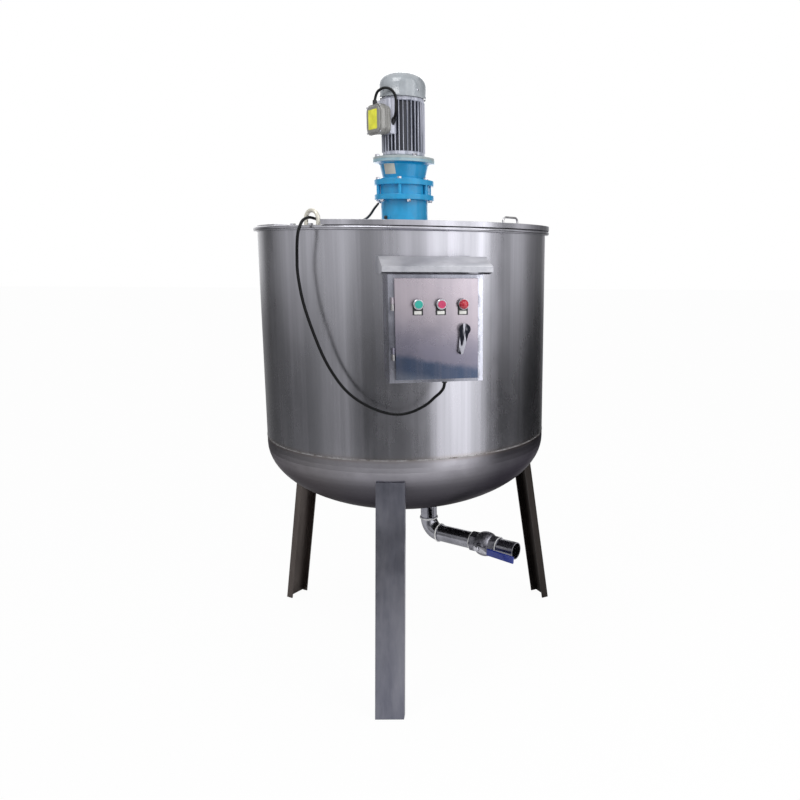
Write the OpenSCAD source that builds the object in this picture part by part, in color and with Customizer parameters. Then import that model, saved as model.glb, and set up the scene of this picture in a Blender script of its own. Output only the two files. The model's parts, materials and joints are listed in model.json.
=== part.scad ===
// Open-top stainless mixing tank on three channel legs, with a vertical agitator drive,
// a half lid, a wall-mounted control box and a bottom drain with a ball valve.
// Millimetres. Origin on the floor under the tank axis, +Z up, control box towards -Y.

/* [Tank] */
// Outside diameter of the shell
tank_d = 1000; // [900:10:1200]
// Thickness of the shell sheet
wall_t = 3; // [2:0.5:5]
// Height of the weld between shell and dished bottom
seam_z = 810; // [760:5:900]
// Height of the shell's top edge
rim_z = 1516; // [1450:1:1600]
// Section diameter of the rolled rim
bead_d = 14; // [10:1:20]
// Straight flange of the dished bottom
flange_h = 25; // [15:1:40]
// Depth of the dished bottom below its flange
dish_h = 250; // [200:5:260]
// Thickness of the dished bottom
dish_t = 4; // [3:0.5:6]

/* [Legs] */
// Width of the channel's web
leg_w = 91; // [70:1:120]
// Depth of the channel's flanges
leg_depth = 28; // [20:1:40]
// Thickness of the channel
leg_t = 4.5; // [3:0.5:8]
// Distance of the web's outer face from the shell's outside, at the floor
foot_out = 116; // [100:1:160]
// Height of the web's top edge
leg_top_z = 738; // [725:1:745]
// Direction of the front leg; the others stand a third of a turn away
front_leg_angle = -96.7; // [-110:0.1:-80]

/* [Bridge and covers] */
// Direction of the bridge across the rim
bridge_angle = -132; // [-140:1:-125]
// Width of the bridge plate
bridge_w = 206; // [200:2:270]
// Thickness of the bridge plate
bridge_t = 8; // [5:1:12]
// Height of the bridge plate's top over the shell's top edge
bridge_rise = 6; // [4:1:10]
// Depth of the two webs under the bridge plate
web_h = 60; // [40:5:90]
// Thickness of the two webs
web_t = 6; // [4:1:10]
// Height of the fixed cover's downturned edge, with its sheet
cover_h = 12; // [8:1:20]
// Thickness of the fixed cover
cover_t = 3; // [2:0.5:5]

/* [Lid] */
// Height of the lid's downturned edge, with its sheet
lid_h = 16; // [12:1:24]
// Thickness of the lid sheet
lid_t = 2; // [1.5:0.5:3]
// Gap from the hinge pin to the lid's straight edge
lid_gap = 9; // [8:0.5:14]
// Diameter of the hinge knuckles
knuckle_d = 12; // [10:0.5:14]
// Diameter of the hinge pins
pin_d = 6; // [4:0.5:8]
// Length of one lid hinge
hinge_l = 90; // [60:2:120]
// Distance of each lid hinge from the tank axis
hinge_x = 300; // [220:5:360]
// Length of the lid's arch handle
lid_grip_l = 88; // [70:2:120]
// Height of the lid's arch handle
lid_grip_h = 24; // [20:1:40]
// Bar diameter of the lid's arch handle
lid_grip_d = 7; // [6:0.5:12]

/* [Drive] */
// Diameter of the gearbox foot flange
base_d = 200; // [190:2:206]
// Thickness of the gearbox foot flange
base_h = 14; // [10:1:20]
// Diameter of the gearbox's lower housing
housing_d = 163; // [150:1:175]
// Height of the lower housing above its foot
housing_h = 89; // [60:1:95]
// Diameter of the pin ring's flanges
ring_d = 207; // [195:1:215]
// Height of the pin ring
ring_h = 68; // [60:1:110]
// Height of the input housing
input_h = 67; // [50:1:80]
// Diameter of the motor's mounting flange
motor_flange_d = 216; // [200:1:230]
// Height of the motor's finned body, with its end shields
motor_h = 204; // [180:1:240]
// Diameter over the motor's fins
fin_d = 150; // [140:1:165]
// Diameter of the fan cover
fan_d = 165; // [155:1:180]
// Height of the fan cover
fan_h = 82; // [70:1:95]
// Number of cooling fins round the motor
fin_n = 32; // [24:1:40]
// Direction of the terminal box
terminal_angle = 212; // [200:1:220]
// Distance of the terminal box's outer face from the axis
terminal_r = 121; // [112:1:140]
// Diameter of the agitator shaft
shaft_d = 30; // [25:1:40]

/* [Control box] */
// Direction in which the control box faces, from the front
box_angle = 7.5; // [0:0.5:15]
// Width of the control box
box_w = 271; // [250:1:320]
// Height of the control box
box_h = 306; // [300:1:350]
// Drop from the shell's top edge to the control box's top
box_drop = 130; // [110:1:160]
// Depth of the control box
box_depth = 131; // [115:1:165]
// Gap between the shell and the box's back
box_gap = 15; // [12:1:30]
// Thickness of the box's sheet
box_t = 2; // [1.5:0.5:3]
// Width of the door
door_w = 236; // [225:1:240]
// Height of the door
door_h = 285; // [280:1:290]
// Depth of the door
door_t = 13; // [10:1:18]
// Diameter of the collars round the buttons and the lamp
collar_d = 29.5; // [28:0.5:32]
// Diameter of the button caps
cap_d = 22; // [18:0.5:23]

/* [Drain] */
// Outside diameter of the drain pipe
pipe_d = 60.3; // [48:0.1:62]
// Wall of the drain pipe
pipe_t = 2.9; // [2:0.1:4]
// Centre of the drain, to the right of the tank axis
drain_x = 72; // [50:1:100]
// Centre of the drain, towards the front
drain_y = -80; // [-110:1:-60]
// Height of the drain's horizontal run
drain_z = 426; // [400:1:440]
// Direction of the horizontal run
drain_angle = -39.5; // [-50:0.5:-30]
// Bend radius of the elbow
elbow_r = 51; // [45:1:60]
// Distance from the elbow's corner to the valve
valve_start = 202; // [180:1:210]
// Length of the valve body
valve_l = 106; // [95:1:130]
// Length of the nipple after the valve
nipple_l = 74; // [60:1:90]

/* [Hidden] */

$fn = 96;
tank_r = tank_d / 2;
inner_r = tank_r - wall_t;
bead_r = bead_d / 2;
bead_x = tank_r + bead_r - 0.6;
rim_out = bead_x + bead_r;
bead_top = rim_z + bead_r;
dish_top = seam_z - flange_h;
dish_steps = 24;

// Point on the dish's half ellipse, a out and b down, at a share s of a quarter turn
function dish_point(a, b, s) = [a * cos(90 * s), dish_top - b * sin(90 * s)];
function dish_curve(a, b) = [for (i = [0 : dish_steps]) dish_point(a, b, i / dish_steps)];
function reversed(list) = [for (i = [len(list) - 1 : -1 : 0]) list[i]];

// The outside of shell and bottom as one solid, to cut what seats on it
module tank_envelope() {
    rotate_extrude()
        polygon(concat([[0, rim_z + 1], [tank_r, rim_z + 1]], dish_curve(tank_r, dish_h)));
}

module tube(d, t, h) {
    difference() {
        cylinder(d = d, h = h);
        translate([0, 0, -1]) cylinder(d = d - 2 * t, h = h + 2);
    }
}

module at_bridge() {
    rotate([0, 0, bridge_angle]) children();
}

module shell() {
    color("lightgray")
    rotate_extrude()
        union() {
            translate([inner_r, seam_z]) square([wall_t, rim_z - seam_z]);
            difference() {
                translate([bead_x, rim_z]) circle(d = bead_d, $fn = 32);
                translate([inner_r - bead_d, rim_z - bead_d]) square([wall_t + bead_d, 2 * bead_d]);
            }
        }
}

module dished_bottom() {
    color("silver")
    difference() {
        rotate_extrude()
            polygon(concat(
                [[tank_r - dish_t, seam_z], [tank_r, seam_z]],
                dish_curve(tank_r, dish_h),
                reversed(dish_curve(tank_r - dish_t, dish_h - dish_t))));
        translate([drain_x, drain_y, drain_z])
            cylinder(d = pipe_d - 2 * pipe_t, h = dish_top - drain_z);
    }
}

// Legs
foot_r = tank_r + foot_out;
leg_splay = atan((foot_out + 5) / leg_top_z);

module leg_profile() {
    difference() {
        translate([-leg_depth, -leg_w / 2]) square([leg_depth, leg_w]);
        translate([-leg_depth - 1, -leg_w / 2 + leg_t])
            square([leg_depth - leg_t + 1, leg_w - 2 * leg_t]);
    }
}

module leg(angle) {
    color("slategray")
    difference() {
        rotate([0, 0, angle])
        intersection() {
            translate([foot_r, 0, 0])
                rotate([0, -leg_splay, 0])
                translate([0, 0, -leg_w])
                linear_extrude(height = leg_top_z * 1.3) leg_profile();
            translate([0, -leg_w, 0]) cube([tank_d, 2 * leg_w, leg_top_z]);
        }
        tank_envelope();
    }
}

module leg_front() { leg(front_leg_angle); }
module leg_left() { leg(front_leg_angle + 240); }
module leg_right() { leg(front_leg_angle + 120); }

// Bridge and covers
hole_clear = 4;
bridge_top_z = rim_z + bridge_rise;
bridge_z = bridge_top_z - bridge_t;
hinge_y = bridge_w / 2 + knuckle_d / 2;
lid_bottom_z = bead_top + 0.4;
lid_top_z = lid_bottom_z + lid_h;
hinge_z = lid_top_z - knuckle_d / 2;

module bridge_plate() {
    color("gainsboro")
    at_bridge()
    difference() {
        intersection() {
            translate([-tank_r, -bridge_w / 2, bridge_z]) cube([tank_d, bridge_w, bridge_t]);
            cylinder(r = inner_r, h = bridge_top_z + bridge_t);
        }
        translate([0, 0, bridge_z - 1]) cylinder(d = shaft_d + 2 * hole_clear, h = bridge_t + 2);
    }
}

module bridge_webs() {
    color("gainsboro")
    at_bridge()
    intersection() {
        for (side = [-1, 1])
            translate([-tank_r, side * bridge_w * 0.4 - web_t / 2, bridge_z - web_h])
                cube([tank_d, web_t, web_h]);
        cylinder(r = inner_r, h = bridge_top_z);
    }
}

module cover_area(inset) {
    intersection() {
        circle(r = tank_r - inset, $fn = 180);
        translate([-tank_d, -tank_d - bridge_w / 2 - inset]) square([2 * tank_d, tank_d]);
    }
}

module fixed_cover() {
    color("lightgray")
    at_bridge()
    difference() {
        translate([0, 0, rim_z]) linear_extrude(height = cover_h) cover_area(0);
        translate([0, 0, rim_z - 1])
            linear_extrude(height = cover_h - cover_t + 1) cover_area(cover_t);
    }
}

// Bent round bar that stands on two feet, length l over the bar, height h, corner radius r
module arch(l, h, d, r) {
    run = l / 2 - d / 2;
    top = h - d / 2;
    for (side = [-1, 1])
        translate([side * run, 0, 0]) cylinder(d = d, h = top - r);
    for (side = [-1, 1])
        scale([side, 1, 1])
        translate([run - r, 0, top - r])
            rotate([90, 0, 0])
            rotate_extrude(angle = 90) translate([r, 0]) circle(d = d, $fn = 24);
    translate([r - run, 0, top]) rotate([0, 90, 0]) cylinder(d = d, h = 2 * (run - r));
}

guide_x = inner_r - 19;
guide_y = bridge_w / 2 - 44;
guide_l = 66;
guide_h = 51;
guide_bar = 13;

module cable_guide() {
    color("gainsboro")
    at_bridge()
    translate([guide_x, guide_y, bridge_top_z]) rotate([0, 0, 90])
        arch(guide_l, guide_h, guide_bar, 26);
}

leaf_t = 3;
knuckle_gap = 0.5;
middle_l = hinge_l * 0.4;

module lid_hinge_leaves() {
    color("silver")
    at_bridge()
    for (x = [-hinge_x, hinge_x])
        translate([x, 0, 0]) {
            for (side = [-1, 1])
                translate([side * (middle_l / 2 + knuckle_gap), hinge_y, hinge_z])
                rotate([0, side * 90, 0]) cylinder(d = knuckle_d, h = (hinge_l - middle_l) / 2);
            translate([-hinge_l / 2, hinge_y, hinge_z]) rotate([0, 90, 0])
                cylinder(d = pin_d, h = hinge_l);
            difference() {
                translate([-hinge_l / 2 - knuckle_gap, hinge_y - 34, bridge_top_z])
                    cube([hinge_l + 2 * knuckle_gap, 34, leaf_t]);
                translate([-middle_l / 2 - knuckle_gap, hinge_y - knuckle_d / 2 - 1, bridge_top_z - 1])
                    cube([middle_l + 2 * knuckle_gap, knuckle_d, leaf_t + 2]);
            }
            for (side = [-1, 1])
                translate([side * (hinge_l + middle_l) / 4 + side * knuckle_gap / 2
                    - (hinge_l - middle_l) / 4 + knuckle_gap / 2,
                    hinge_y - leaf_t, bridge_top_z])
                cube([(hinge_l - middle_l) / 2 - knuckle_gap, leaf_t, hinge_z - bridge_top_z]);
        }
}

lid_y = hinge_y + lid_gap;

module lid_area(r, inset) {
    intersection() {
        circle(r = r - inset, $fn = 180);
        translate([-tank_d, lid_y + inset]) square([2 * tank_d, tank_d]);
    }
}

module lid_panel() {
    color("lightgray")
    at_bridge()
    difference() {
        translate([0, 0, lid_bottom_z]) linear_extrude(height = lid_h) lid_area(rim_out, 0);
        translate([0, 0, lid_bottom_z - 1])
            linear_extrude(height = lid_h - lid_t + 1) lid_area(rim_out, lid_t);
    }
}

module lid_hinge_knuckles() {
    color("silver")
    at_bridge()
    for (x = [-hinge_x, hinge_x])
        difference() {
            union() {
                translate([x - middle_l / 2, hinge_y, hinge_z]) rotate([0, 90, 0])
                    cylinder(d = knuckle_d, h = middle_l);
                translate([x - middle_l / 2, hinge_y, lid_top_z - leaf_t])
                    cube([middle_l, lid_gap, leaf_t]);
            }
            translate([x - middle_l, hinge_y, hinge_z]) rotate([0, 90, 0])
                cylinder(d = pin_d + 0.2, h = 2 * middle_l);
        }
}

grip_r = tank_r - 45;

module lid_handle() {
    color("silver")
    at_bridge()
    translate([0, grip_r, lid_top_z]) arch(lid_grip_l, lid_grip_h, lid_grip_d, 14);
}

// Drive
run_clear = 0.05;
seat_gap = 0.01;
base_top = bridge_top_z + base_h;
housing_top = base_top + housing_h;
ring_top = housing_top + ring_h;
input_top = ring_top + input_h;
motor_bottom = input_top + 15;
motor_top = motor_bottom + motor_h - 15;
shaft_top = base_top + 30;

module gearbox_foot() {
    color("steelblue")
    difference() {
        translate([0, 0, bridge_top_z + seat_gap]) cylinder(d = base_d, h = base_h - seat_gap);
        translate([0, 0, bridge_top_z - 1]) cylinder(d = shaft_d + 2 * run_clear, h = base_h + 2);
    }
}

boss_angle = 223;
boss_z = 28;
boss_d = 26;
boss_out = 5;
boss_sunk = 8;
plug_d = 12;

module gearbox_housing() {
    color("steelblue")
    difference() {
        union() {
            translate([0, 0, base_top]) cylinder(d = housing_d, h = housing_h);
            rotate([0, 0, boss_angle]) translate([housing_d / 2 - boss_sunk, 0, base_top + boss_z])
                rotate([0, 90, 0]) cylinder(d = boss_d, h = boss_sunk + boss_out);
        }
        rotate([0, 0, boss_angle]) translate([housing_d / 2 - boss_sunk, 0, base_top + boss_z])
            rotate([0, 90, 0]) cylinder(d = plug_d, h = boss_sunk + boss_out + 1);
        translate([0, 0, base_top - 1]) cylinder(d = shaft_d + 2 * run_clear, h = shaft_top - base_top + 2);
    }
}

ring_flange_h = 18;
ring_waist_d = 176;
ring_ribs = 6;
rib_d = 12;
rib_angle = 21;

module pin_ring() {
    color("steelblue")
    translate([0, 0, housing_top]) {
        cylinder(d = ring_d, h = ring_flange_h);
        cylinder(d = ring_waist_d, h = ring_h);
        translate([0, 0, ring_h - ring_flange_h]) cylinder(d = ring_d, h = ring_flange_h);
        for (i = [0 : ring_ribs - 1])
            rotate([0, 0, rib_angle + i * 360 / ring_ribs])
                translate([ring_d / 2 - 8, 0, 0]) cylinder(d = rib_d, h = ring_h, $fn = 32);
    }
}

input_neck_d = 150;
input_wide_d = 168;

module input_housing() {
    color("steelblue")
    translate([0, 0, ring_top])
    rotate_extrude()
        polygon([[0, 0], [input_neck_d / 2 + 8, 0], [input_neck_d / 2 + 8, 5],
            [input_neck_d / 2, 9], [input_wide_d / 2, input_h - 17],
            [input_wide_d / 2 + 6, input_h - 12], [motor_flange_d / 2 - 1, input_h - 10],
            [motor_flange_d / 2, input_h - 9], [motor_flange_d / 2, input_h], [0, input_h]]);
}

module motor_flange() {
    color("silver")
    translate([0, 0, input_top])
    rotate_extrude()
        polygon([[0, 0], [motor_flange_d / 2, 0], [motor_flange_d / 2, 8],
            [fin_d / 2 + 4, 12], [fin_d / 2 - 2, 15], [0, 15]]);
}

fin_t = 2.4;
fin_depth = 12;
end_ring_h = 12;
pad_w = 84;
pad_h = 118;
pad_r = 78;
pad_z = motor_bottom + 65;

module at_terminal() {
    rotate([0, 0, terminal_angle]) children();
}

module motor_body() {
    color("darkgray")
    translate([0, 0, motor_bottom]) {
        linear_extrude(height = motor_top - motor_bottom)
        union() {
            circle(d = fin_d - 2 * fin_depth, $fn = 72);
            for (i = [0 : fin_n - 1])
                rotate([0, 0, i * 360 / fin_n])
                    translate([fin_d / 2 - fin_depth - 4, -fin_t / 2])
                    square([fin_depth + 4, fin_t]);
        }
        cylinder(d = fin_d - 2, h = end_ring_h);
        translate([0, 0, motor_top - motor_bottom - end_ring_h]) cylinder(d = fin_d - 2, h = end_ring_h);
    }
    color("darkgray")
    at_terminal() translate([fin_d / 4, -pad_w / 2, pad_z]) cube([pad_r - fin_d / 4, pad_w, pad_h]);
}

crown_h = 41;
crown_flat_d = 76;

module fan_cover() {
    color("gray")
    translate([0, 0, motor_top])
    rotate_extrude()
        polygon(concat([[0, 0], [fan_d / 2, 0]],
            [for (a = [0 : 10 : 90])
                [crown_flat_d / 2 + (fan_d - crown_flat_d) / 2 * cos(a),
                    fan_h - crown_h + crown_h * sin(a)]],
            [[0, fan_h]]));
}

// Upright rounded plate, w wide and h high with corner radius r, from x0 to x1 along X
module rounded_block(x0, x1, w, h, r) {
    translate([x0, 0, 0])
        rotate([90, 0, 90])
        linear_extrude(height = x1 - x0)
        union() {
            square([w - 2 * r, h], center = true);
            square([w, h - 2 * r], center = true);
            for (i = [-1, 1], j = [-1, 1])
                translate([i * (w / 2 - r), j * (h / 2 - r)]) circle(r = r, $fn = 40);
        }
}

terminal_w = 100;
terminal_h = 100;
terminal_z = pad_z + 46;
terminal_lid = 33;
gland_d = 18;
gland_h = 12;
top_gland_x = 110;

module terminal_box() {
    color("darkgray")
    at_terminal()
    translate([0, 0, terminal_z]) {
        rounded_block(pad_r, terminal_r - terminal_lid, terminal_w - 8, terminal_h - 8, 20);
        rounded_block(terminal_r - terminal_lid, terminal_r - 5, terminal_w, terminal_h, 24);
        rounded_block(terminal_r - 5, terminal_r, terminal_w - 12, terminal_h - 12, 20);
    }
}

module gland() {
    cylinder(d = gland_d, h = 7, $fn = 6);
    cylinder(d = gland_d - 3, h = gland_h);
}

pad_gland_x = 66;
pad_gland_sunk = 8;
pad_gland_gap = 0.2;

// Slanting entry on a side of the motor's pad, side -1 or 1, its axis at an angle from upright
module pad_gland(side, up, slant) {
    difference() {
        translate([pad_gland_x, side * pad_w / 2, up]) rotate([-side * slant, 0, 0])
            translate([0, 0, -pad_gland_sunk]) cylinder(d = gland_d - 3, h = pad_gland_sunk + gland_h);
        translate([0, -pad_w / 2 - pad_gland_gap, -pad_h])
            cube([pad_r, pad_w + 2 * pad_gland_gap, 2 * pad_h]);
        translate([0, 0, -pad_h]) cylinder(d = fin_d + 2 * pad_gland_gap, h = 2 * pad_h);
    }
}

// Three cable entries: loop out on top, loop back at the front, motor cable at the rear
module terminal_gland() {
    color("dimgray")
    at_terminal()
    translate([0, 0, terminal_z]) {
        translate([top_gland_x, 0, terminal_h / 2]) gland();
        pad_gland(1, -6, 40);
        pad_gland(-1, 22, 135);
    }
}

shaft_bottom = dish_top - 145;
paddle_low = 40;
paddle_high = 420;
paddle_d = 420;
hub_d = 58;
hub_h = 60;
blade_t = 6;
blade_w = 70;

module agitator_shaft() {
    color("silver")
    translate([0, 0, shaft_bottom]) cylinder(d = shaft_d, h = shaft_top - shaft_bottom);
}

module agitator_paddles() {
    color("silver")
    for (k = [0, 1])
        translate([0, 0, shaft_bottom + (k == 0 ? paddle_low : paddle_high)])
        difference() {
            union() {
                cylinder(d = hub_d, h = hub_h);
                intersection() {
                    for (i = [0 : 1])
                        rotate([0, 0, k * 90 + i * 180])
                            translate([hub_d / 2 - 6, 0, hub_h / 2]) rotate([45, 0, 0])
                            translate([0, -blade_w / 2, -blade_t / 2])
                            cube([paddle_d / 2, blade_w, blade_t]);
                    cylinder(d = paddle_d, h = hub_h * 2);
                }
            }
            translate([0, 0, -50]) cylinder(d = shaft_d, h = hub_h + 100);
        }
}

// Control box, in a frame with x to the right, y out of the tank and z up
module at_box() {
    rotate([0, 0, box_angle])
    mirror([0, 1, 0])
    children();
}

box_back = tank_r + box_gap;
box_front = box_back + box_depth;
box_top = rim_z - box_drop;
box_z = box_top - box_h;
door_z = box_z + (box_h - door_h) / 2;
open_w = door_w - 36;
open_h = door_h - 36;
door_front = box_front + door_t;
door_gap = 0.3;

module control_box() {
    color("gainsboro")
    at_box()
    difference() {
        translate([-box_w / 2, box_back, box_z]) cube([box_w, box_depth, box_h]);
        translate([-box_w / 2 + box_t, box_back + box_t, box_z + box_t])
            cube([box_w - 2 * box_t, box_depth - 2 * box_t, box_h - 2 * box_t]);
        translate([-open_w / 2, box_front - 2 * box_t, box_z + (box_h - open_h) / 2])
            cube([open_w, 3 * box_t, open_h]);
    }
}

bracket_w = 200;
bracket_h = 30;
bracket_inset = 40;

module box_brackets() {
    color("silver")
    at_box()
    difference() {
        for (z = [box_z + bracket_inset, box_top - bracket_inset - bracket_h])
            translate([-bracket_w / 2, tank_r - 30, z])
                cube([bracket_w, box_gap + 30, bracket_h]);
        cylinder(r = tank_r, h = rim_z);
    }
}

hood_w = 310;
hood_front = box_front + 44;
hood_back = tank_r + 6;
hood_low = box_top + 7;
hood_lip = 15;
hood_rise = 27;
hood_slope = 90;
hood_t = 2;

module box_hood() {
    color("gainsboro")
    at_box()
    difference() {
        translate([-hood_w / 2, 0, 0])
            rotate([90, 0, 90])
            linear_extrude(height = hood_w)
            polygon([[hood_back, box_top], [hood_back, hood_low + hood_lip + hood_rise],
                [hood_front - hood_slope, hood_low + hood_lip + hood_rise],
                [hood_front, hood_low + hood_lip], [hood_front, hood_low],
                [hood_front - hood_t, hood_low], [box_front, box_top]]);
        translate([-hood_w / 2 + hood_t, 0, 0])
            rotate([90, 0, 90])
            linear_extrude(height = hood_w - 2 * hood_t)
            polygon([[hood_back - 1, box_top + hood_t],
                [hood_back - 1, hood_low + hood_lip + hood_rise - hood_t],
                [hood_front - hood_slope, hood_low + hood_lip + hood_rise - hood_t],
                [hood_front - hood_t, hood_low + hood_lip - hood_t], [hood_front - hood_t, hood_low - 9],
                [box_front, box_top + hood_t]]);
        cylinder(r = tank_r, h = rim_z);
    }
}

// Door hinges
door_pin_x = -door_w / 2 - 6;
door_pin_y = box_front + 7;
door_knuckle_d = 10;
door_pin_d = 5;
door_hinge_l = 36;
door_hinge_low = 84;
door_hinge_high = 224;
door_hinge_z = [box_z + door_hinge_low, box_z + door_hinge_high];

module box_hinge_leaves() {
    color("silver")
    at_box()
    for (z = door_hinge_z)
        translate([door_pin_x, door_pin_y, z - door_hinge_l / 2]) {
            cylinder(d = door_knuckle_d, h = door_hinge_l / 2 - 0.3);
            cylinder(d = door_pin_d, h = door_hinge_l);
            translate([-door_knuckle_d / 2, box_front - door_pin_y, 0])
                cube([door_knuckle_d, door_pin_y - box_front, door_hinge_l / 2 - 0.3]);
        }
}

green_x = -54.3;
red_x = 10.5;
button_xs = [green_x, red_x];
lamp_x = 73.6;
row_up = 224;
row_z = box_z + row_up;
lever_x = 77;
lever_up = 153;
lever_z = box_z + lever_up;

module box_door() {
    color("gainsboro")
    at_box() {
        difference() {
            translate([-door_w / 2, box_front + door_gap, door_z])
                cube([door_w, door_t - door_gap, door_h]);
            translate([-open_w / 2, box_front - 1, box_z + (box_h - open_h) / 2])
                cube([open_w, door_t - box_t + 1, open_h]);
            translate([lever_x, box_front - 1, lever_z]) rotate([-90, 0, 0])
                cylinder(d = 12 + 2 * run_clear, h = door_t + 2);
        }
        for (z = door_hinge_z)
            translate([door_pin_x, door_pin_y, z + 0.3])
            difference() {
                union() {
                    cylinder(d = door_knuckle_d, h = door_hinge_l / 2 - 0.3);
                    translate([0, -door_knuckle_d / 2 + 1.5, 0]) cube([8, 5, door_hinge_l / 2 - 0.3]);
                }
                translate([0, 0, -1]) cylinder(d = door_pin_d + 0.2, h = door_hinge_l);
            }
    }
}

plate_w = 29;
plate_drop = 31;
plate_t = 2;
barrel_d = 28;
barrel_h = 13;
collar_h = 6;
cap_travel = 4;
cap_out = 2;
collar_back = door_front + plate_t + barrel_h;

module out_at(x, y, z) {
    translate([x, y, z]) rotate([-90, 0, 0]) children();
}

module legend_plates() {
    color("dimgray")
    at_box()
    difference() {
        for (x = concat(button_xs, [lamp_x])) {
            translate([x - plate_w / 2, door_front, row_z - plate_drop])
                cube([plate_w, plate_t, plate_drop]);
            out_at(x, door_front, row_z) cylinder(d = barrel_d, h = plate_t + barrel_h);
        }
        for (x = button_xs)
            out_at(x, door_front + plate_t, row_z) cylinder(d = cap_d + 2 * run_clear, h = barrel_h + 1);
    }
}

module button_collars() {
    color("silver")
    at_box()
    for (x = button_xs)
        out_at(x, collar_back, row_z)
        difference() {
            rotate_extrude()
                polygon([[0, 0], [collar_d / 2, 0], [collar_d / 2, collar_h - 2],
                    [collar_d / 2 - 2, collar_h], [0, collar_h]]);
            translate([0, 0, -1]) cylinder(d = cap_d + 2 * run_clear, h = collar_h + 2);
        }
}

lamp_d = 27;
lamp_h = 15;

module pilot_lamp() {
    color("firebrick")
    at_box()
    out_at(lamp_x, collar_back, row_z)
    rotate_extrude()
        polygon(concat([[0, 0], [lamp_d / 2, 0], [lamp_d / 2, 3]],
            [for (a = [0 : 15 : 75]) [lamp_d / 2 * cos(a) * 0.96, 3 + (lamp_h - 3) * sin(a)]],
            [[0, lamp_h]]));
}

module button_cap(x) {
    out_at(x, door_front + plate_t + cap_travel + 0.5, row_z)
        cylinder(d = cap_d, h = barrel_h + collar_h + cap_out - cap_travel - 0.5);
}

module button_green() {
    color("seagreen") at_box() button_cap(green_x);
}

module button_red() {
    color("crimson") at_box() button_cap(red_x);
}

lever_l = 80;
lever_head_d = 33;
lever_tip_d = 15;
lever_neck_w = 28;
lever_t = 11;
lever_lean = 10;
stem_pin_d = 12;

module door_lever() {
    color("silver")
    at_box() {
        out_at(lever_x, box_front - 4, lever_z) cylinder(d = stem_pin_d, h = door_t + 16);
        out_at(lever_x, door_front + door_gap, lever_z) cylinder(d = lever_head_d, h = lever_t + 3);
        translate([lever_x, door_front + 3, lever_z]) rotate([0, lever_lean, 0])
            rotate([-90, 0, 0])
            linear_extrude(height = lever_t)
            union() {
                polygon([[-lever_neck_w / 2, 0], [lever_neck_w / 2, 0],
                    [lever_tip_d / 2 - 0.5, lever_l - lever_tip_d],
                    [0.5 - lever_tip_d / 2, lever_l - lever_tip_d]]);
                translate([0, lever_l - lever_tip_d]) circle(d = lever_tip_d, $fn = 40);
            }
    }
}

box_gland_x = 34;

module box_gland() {
    color("dimgray")
    at_box()
    translate([box_gland_x, box_back + box_depth / 2, box_z]) {
        translate([0, 0, -gland_h - 2]) cylinder(d = gland_d - 3, h = gland_h + 2);
        translate([0, 0, -8]) cylinder(d = gland_d + 2, h = 8, $fn = 6);
    }
}

// Drain
drain_turn = drain_z + elbow_r;
drain_bore = pipe_d - 2 * pipe_t;

module at_drain() {
    translate([drain_x, drain_y, drain_z]) rotate([0, 0, drain_angle]) children();
}

module along(start) {
    at_drain() translate([start, 0, 0]) rotate([0, 90, 0]) children();
}

module drain_stub() {
    color("silver")
    difference() {
        translate([drain_x, drain_y, drain_turn]) {
            difference() {
                union() {
                    cylinder(d = pipe_d, h = dish_top - drain_turn);
                    cylinder(d = pipe_d + 5, h = 5);
                }
                translate([0, 0, -1]) cylinder(d = drain_bore, h = dish_top);
            }
        }
        tank_envelope();
    }
}

module drain_elbow() {
    color("silver")
    at_drain()
    translate([elbow_r, 0, elbow_r])
        rotate([90, 0, 0]) rotate([0, 0, 180])
        rotate_extrude(angle = 90)
        translate([elbow_r, 0])
        difference() {
            circle(d = pipe_d, $fn = 48);
            circle(d = drain_bore, $fn = 48);
        }
}

module drain_pipe() {
    color("silver")
    along(elbow_r)
    union() {
        tube(pipe_d, pipe_t, valve_start - elbow_r);
        tube(pipe_d + 5, pipe_t + 2.5, 5);
    }
}

valve_w = 74;
ball_w = 88;
end_h = 24;
stem_d = 14;
stem_z = 62;

module valve_body() {
    color("darkgray")
    difference() {
        union() {
            along(valve_start) cylinder(d = valve_w, h = end_h, $fn = 8);
            along(valve_start)
                rotate_extrude()
                polygon(concat([[0, end_h - 1], [valve_w / 2 - 3, end_h - 1]],
                    [for (a = [-60 : 15 : 60])
                        [valve_w / 2 - 3 + (ball_w - valve_w + 6) / 2 * (cos(a) - 0.5) / 0.5,
                            valve_l / 2 + (valve_l / 2 - end_h) * sin(a) / sin(60)]],
                    [[valve_w / 2 - 3, valve_l - end_h + 1], [0, valve_l - end_h + 1]]));
            along(valve_start + valve_l - end_h) cylinder(d = valve_w, h = end_h, $fn = 8);
            at_drain() translate([valve_start + valve_l / 2, 0, 0])
                rotate([90, 0, 0]) cylinder(d = 30, h = stem_z - 12);
        }
        along(valve_start - 1) cylinder(d = drain_bore, h = valve_l + 2);
        at_drain() translate([valve_start + valve_l / 2, 0, 0])
            rotate([90, 0, 0]) cylinder(d = stem_d + 2 * run_clear, h = stem_z);
    }
}

module drain_nipple() {
    color("silver")
    along(valve_start + valve_l)
    union() {
        tube(pipe_d, pipe_t, nipple_l);
        tube(pipe_d + 5, pipe_t + 2.5, 6);
    }
}

handle_l = 152;
handle_w = 22;
handle_t = 4;
handle_tail = 14;
handle_tilt = 4;
sleeve_start = 36;
sleeve_w = 26;
sleeve_t = 8;

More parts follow.
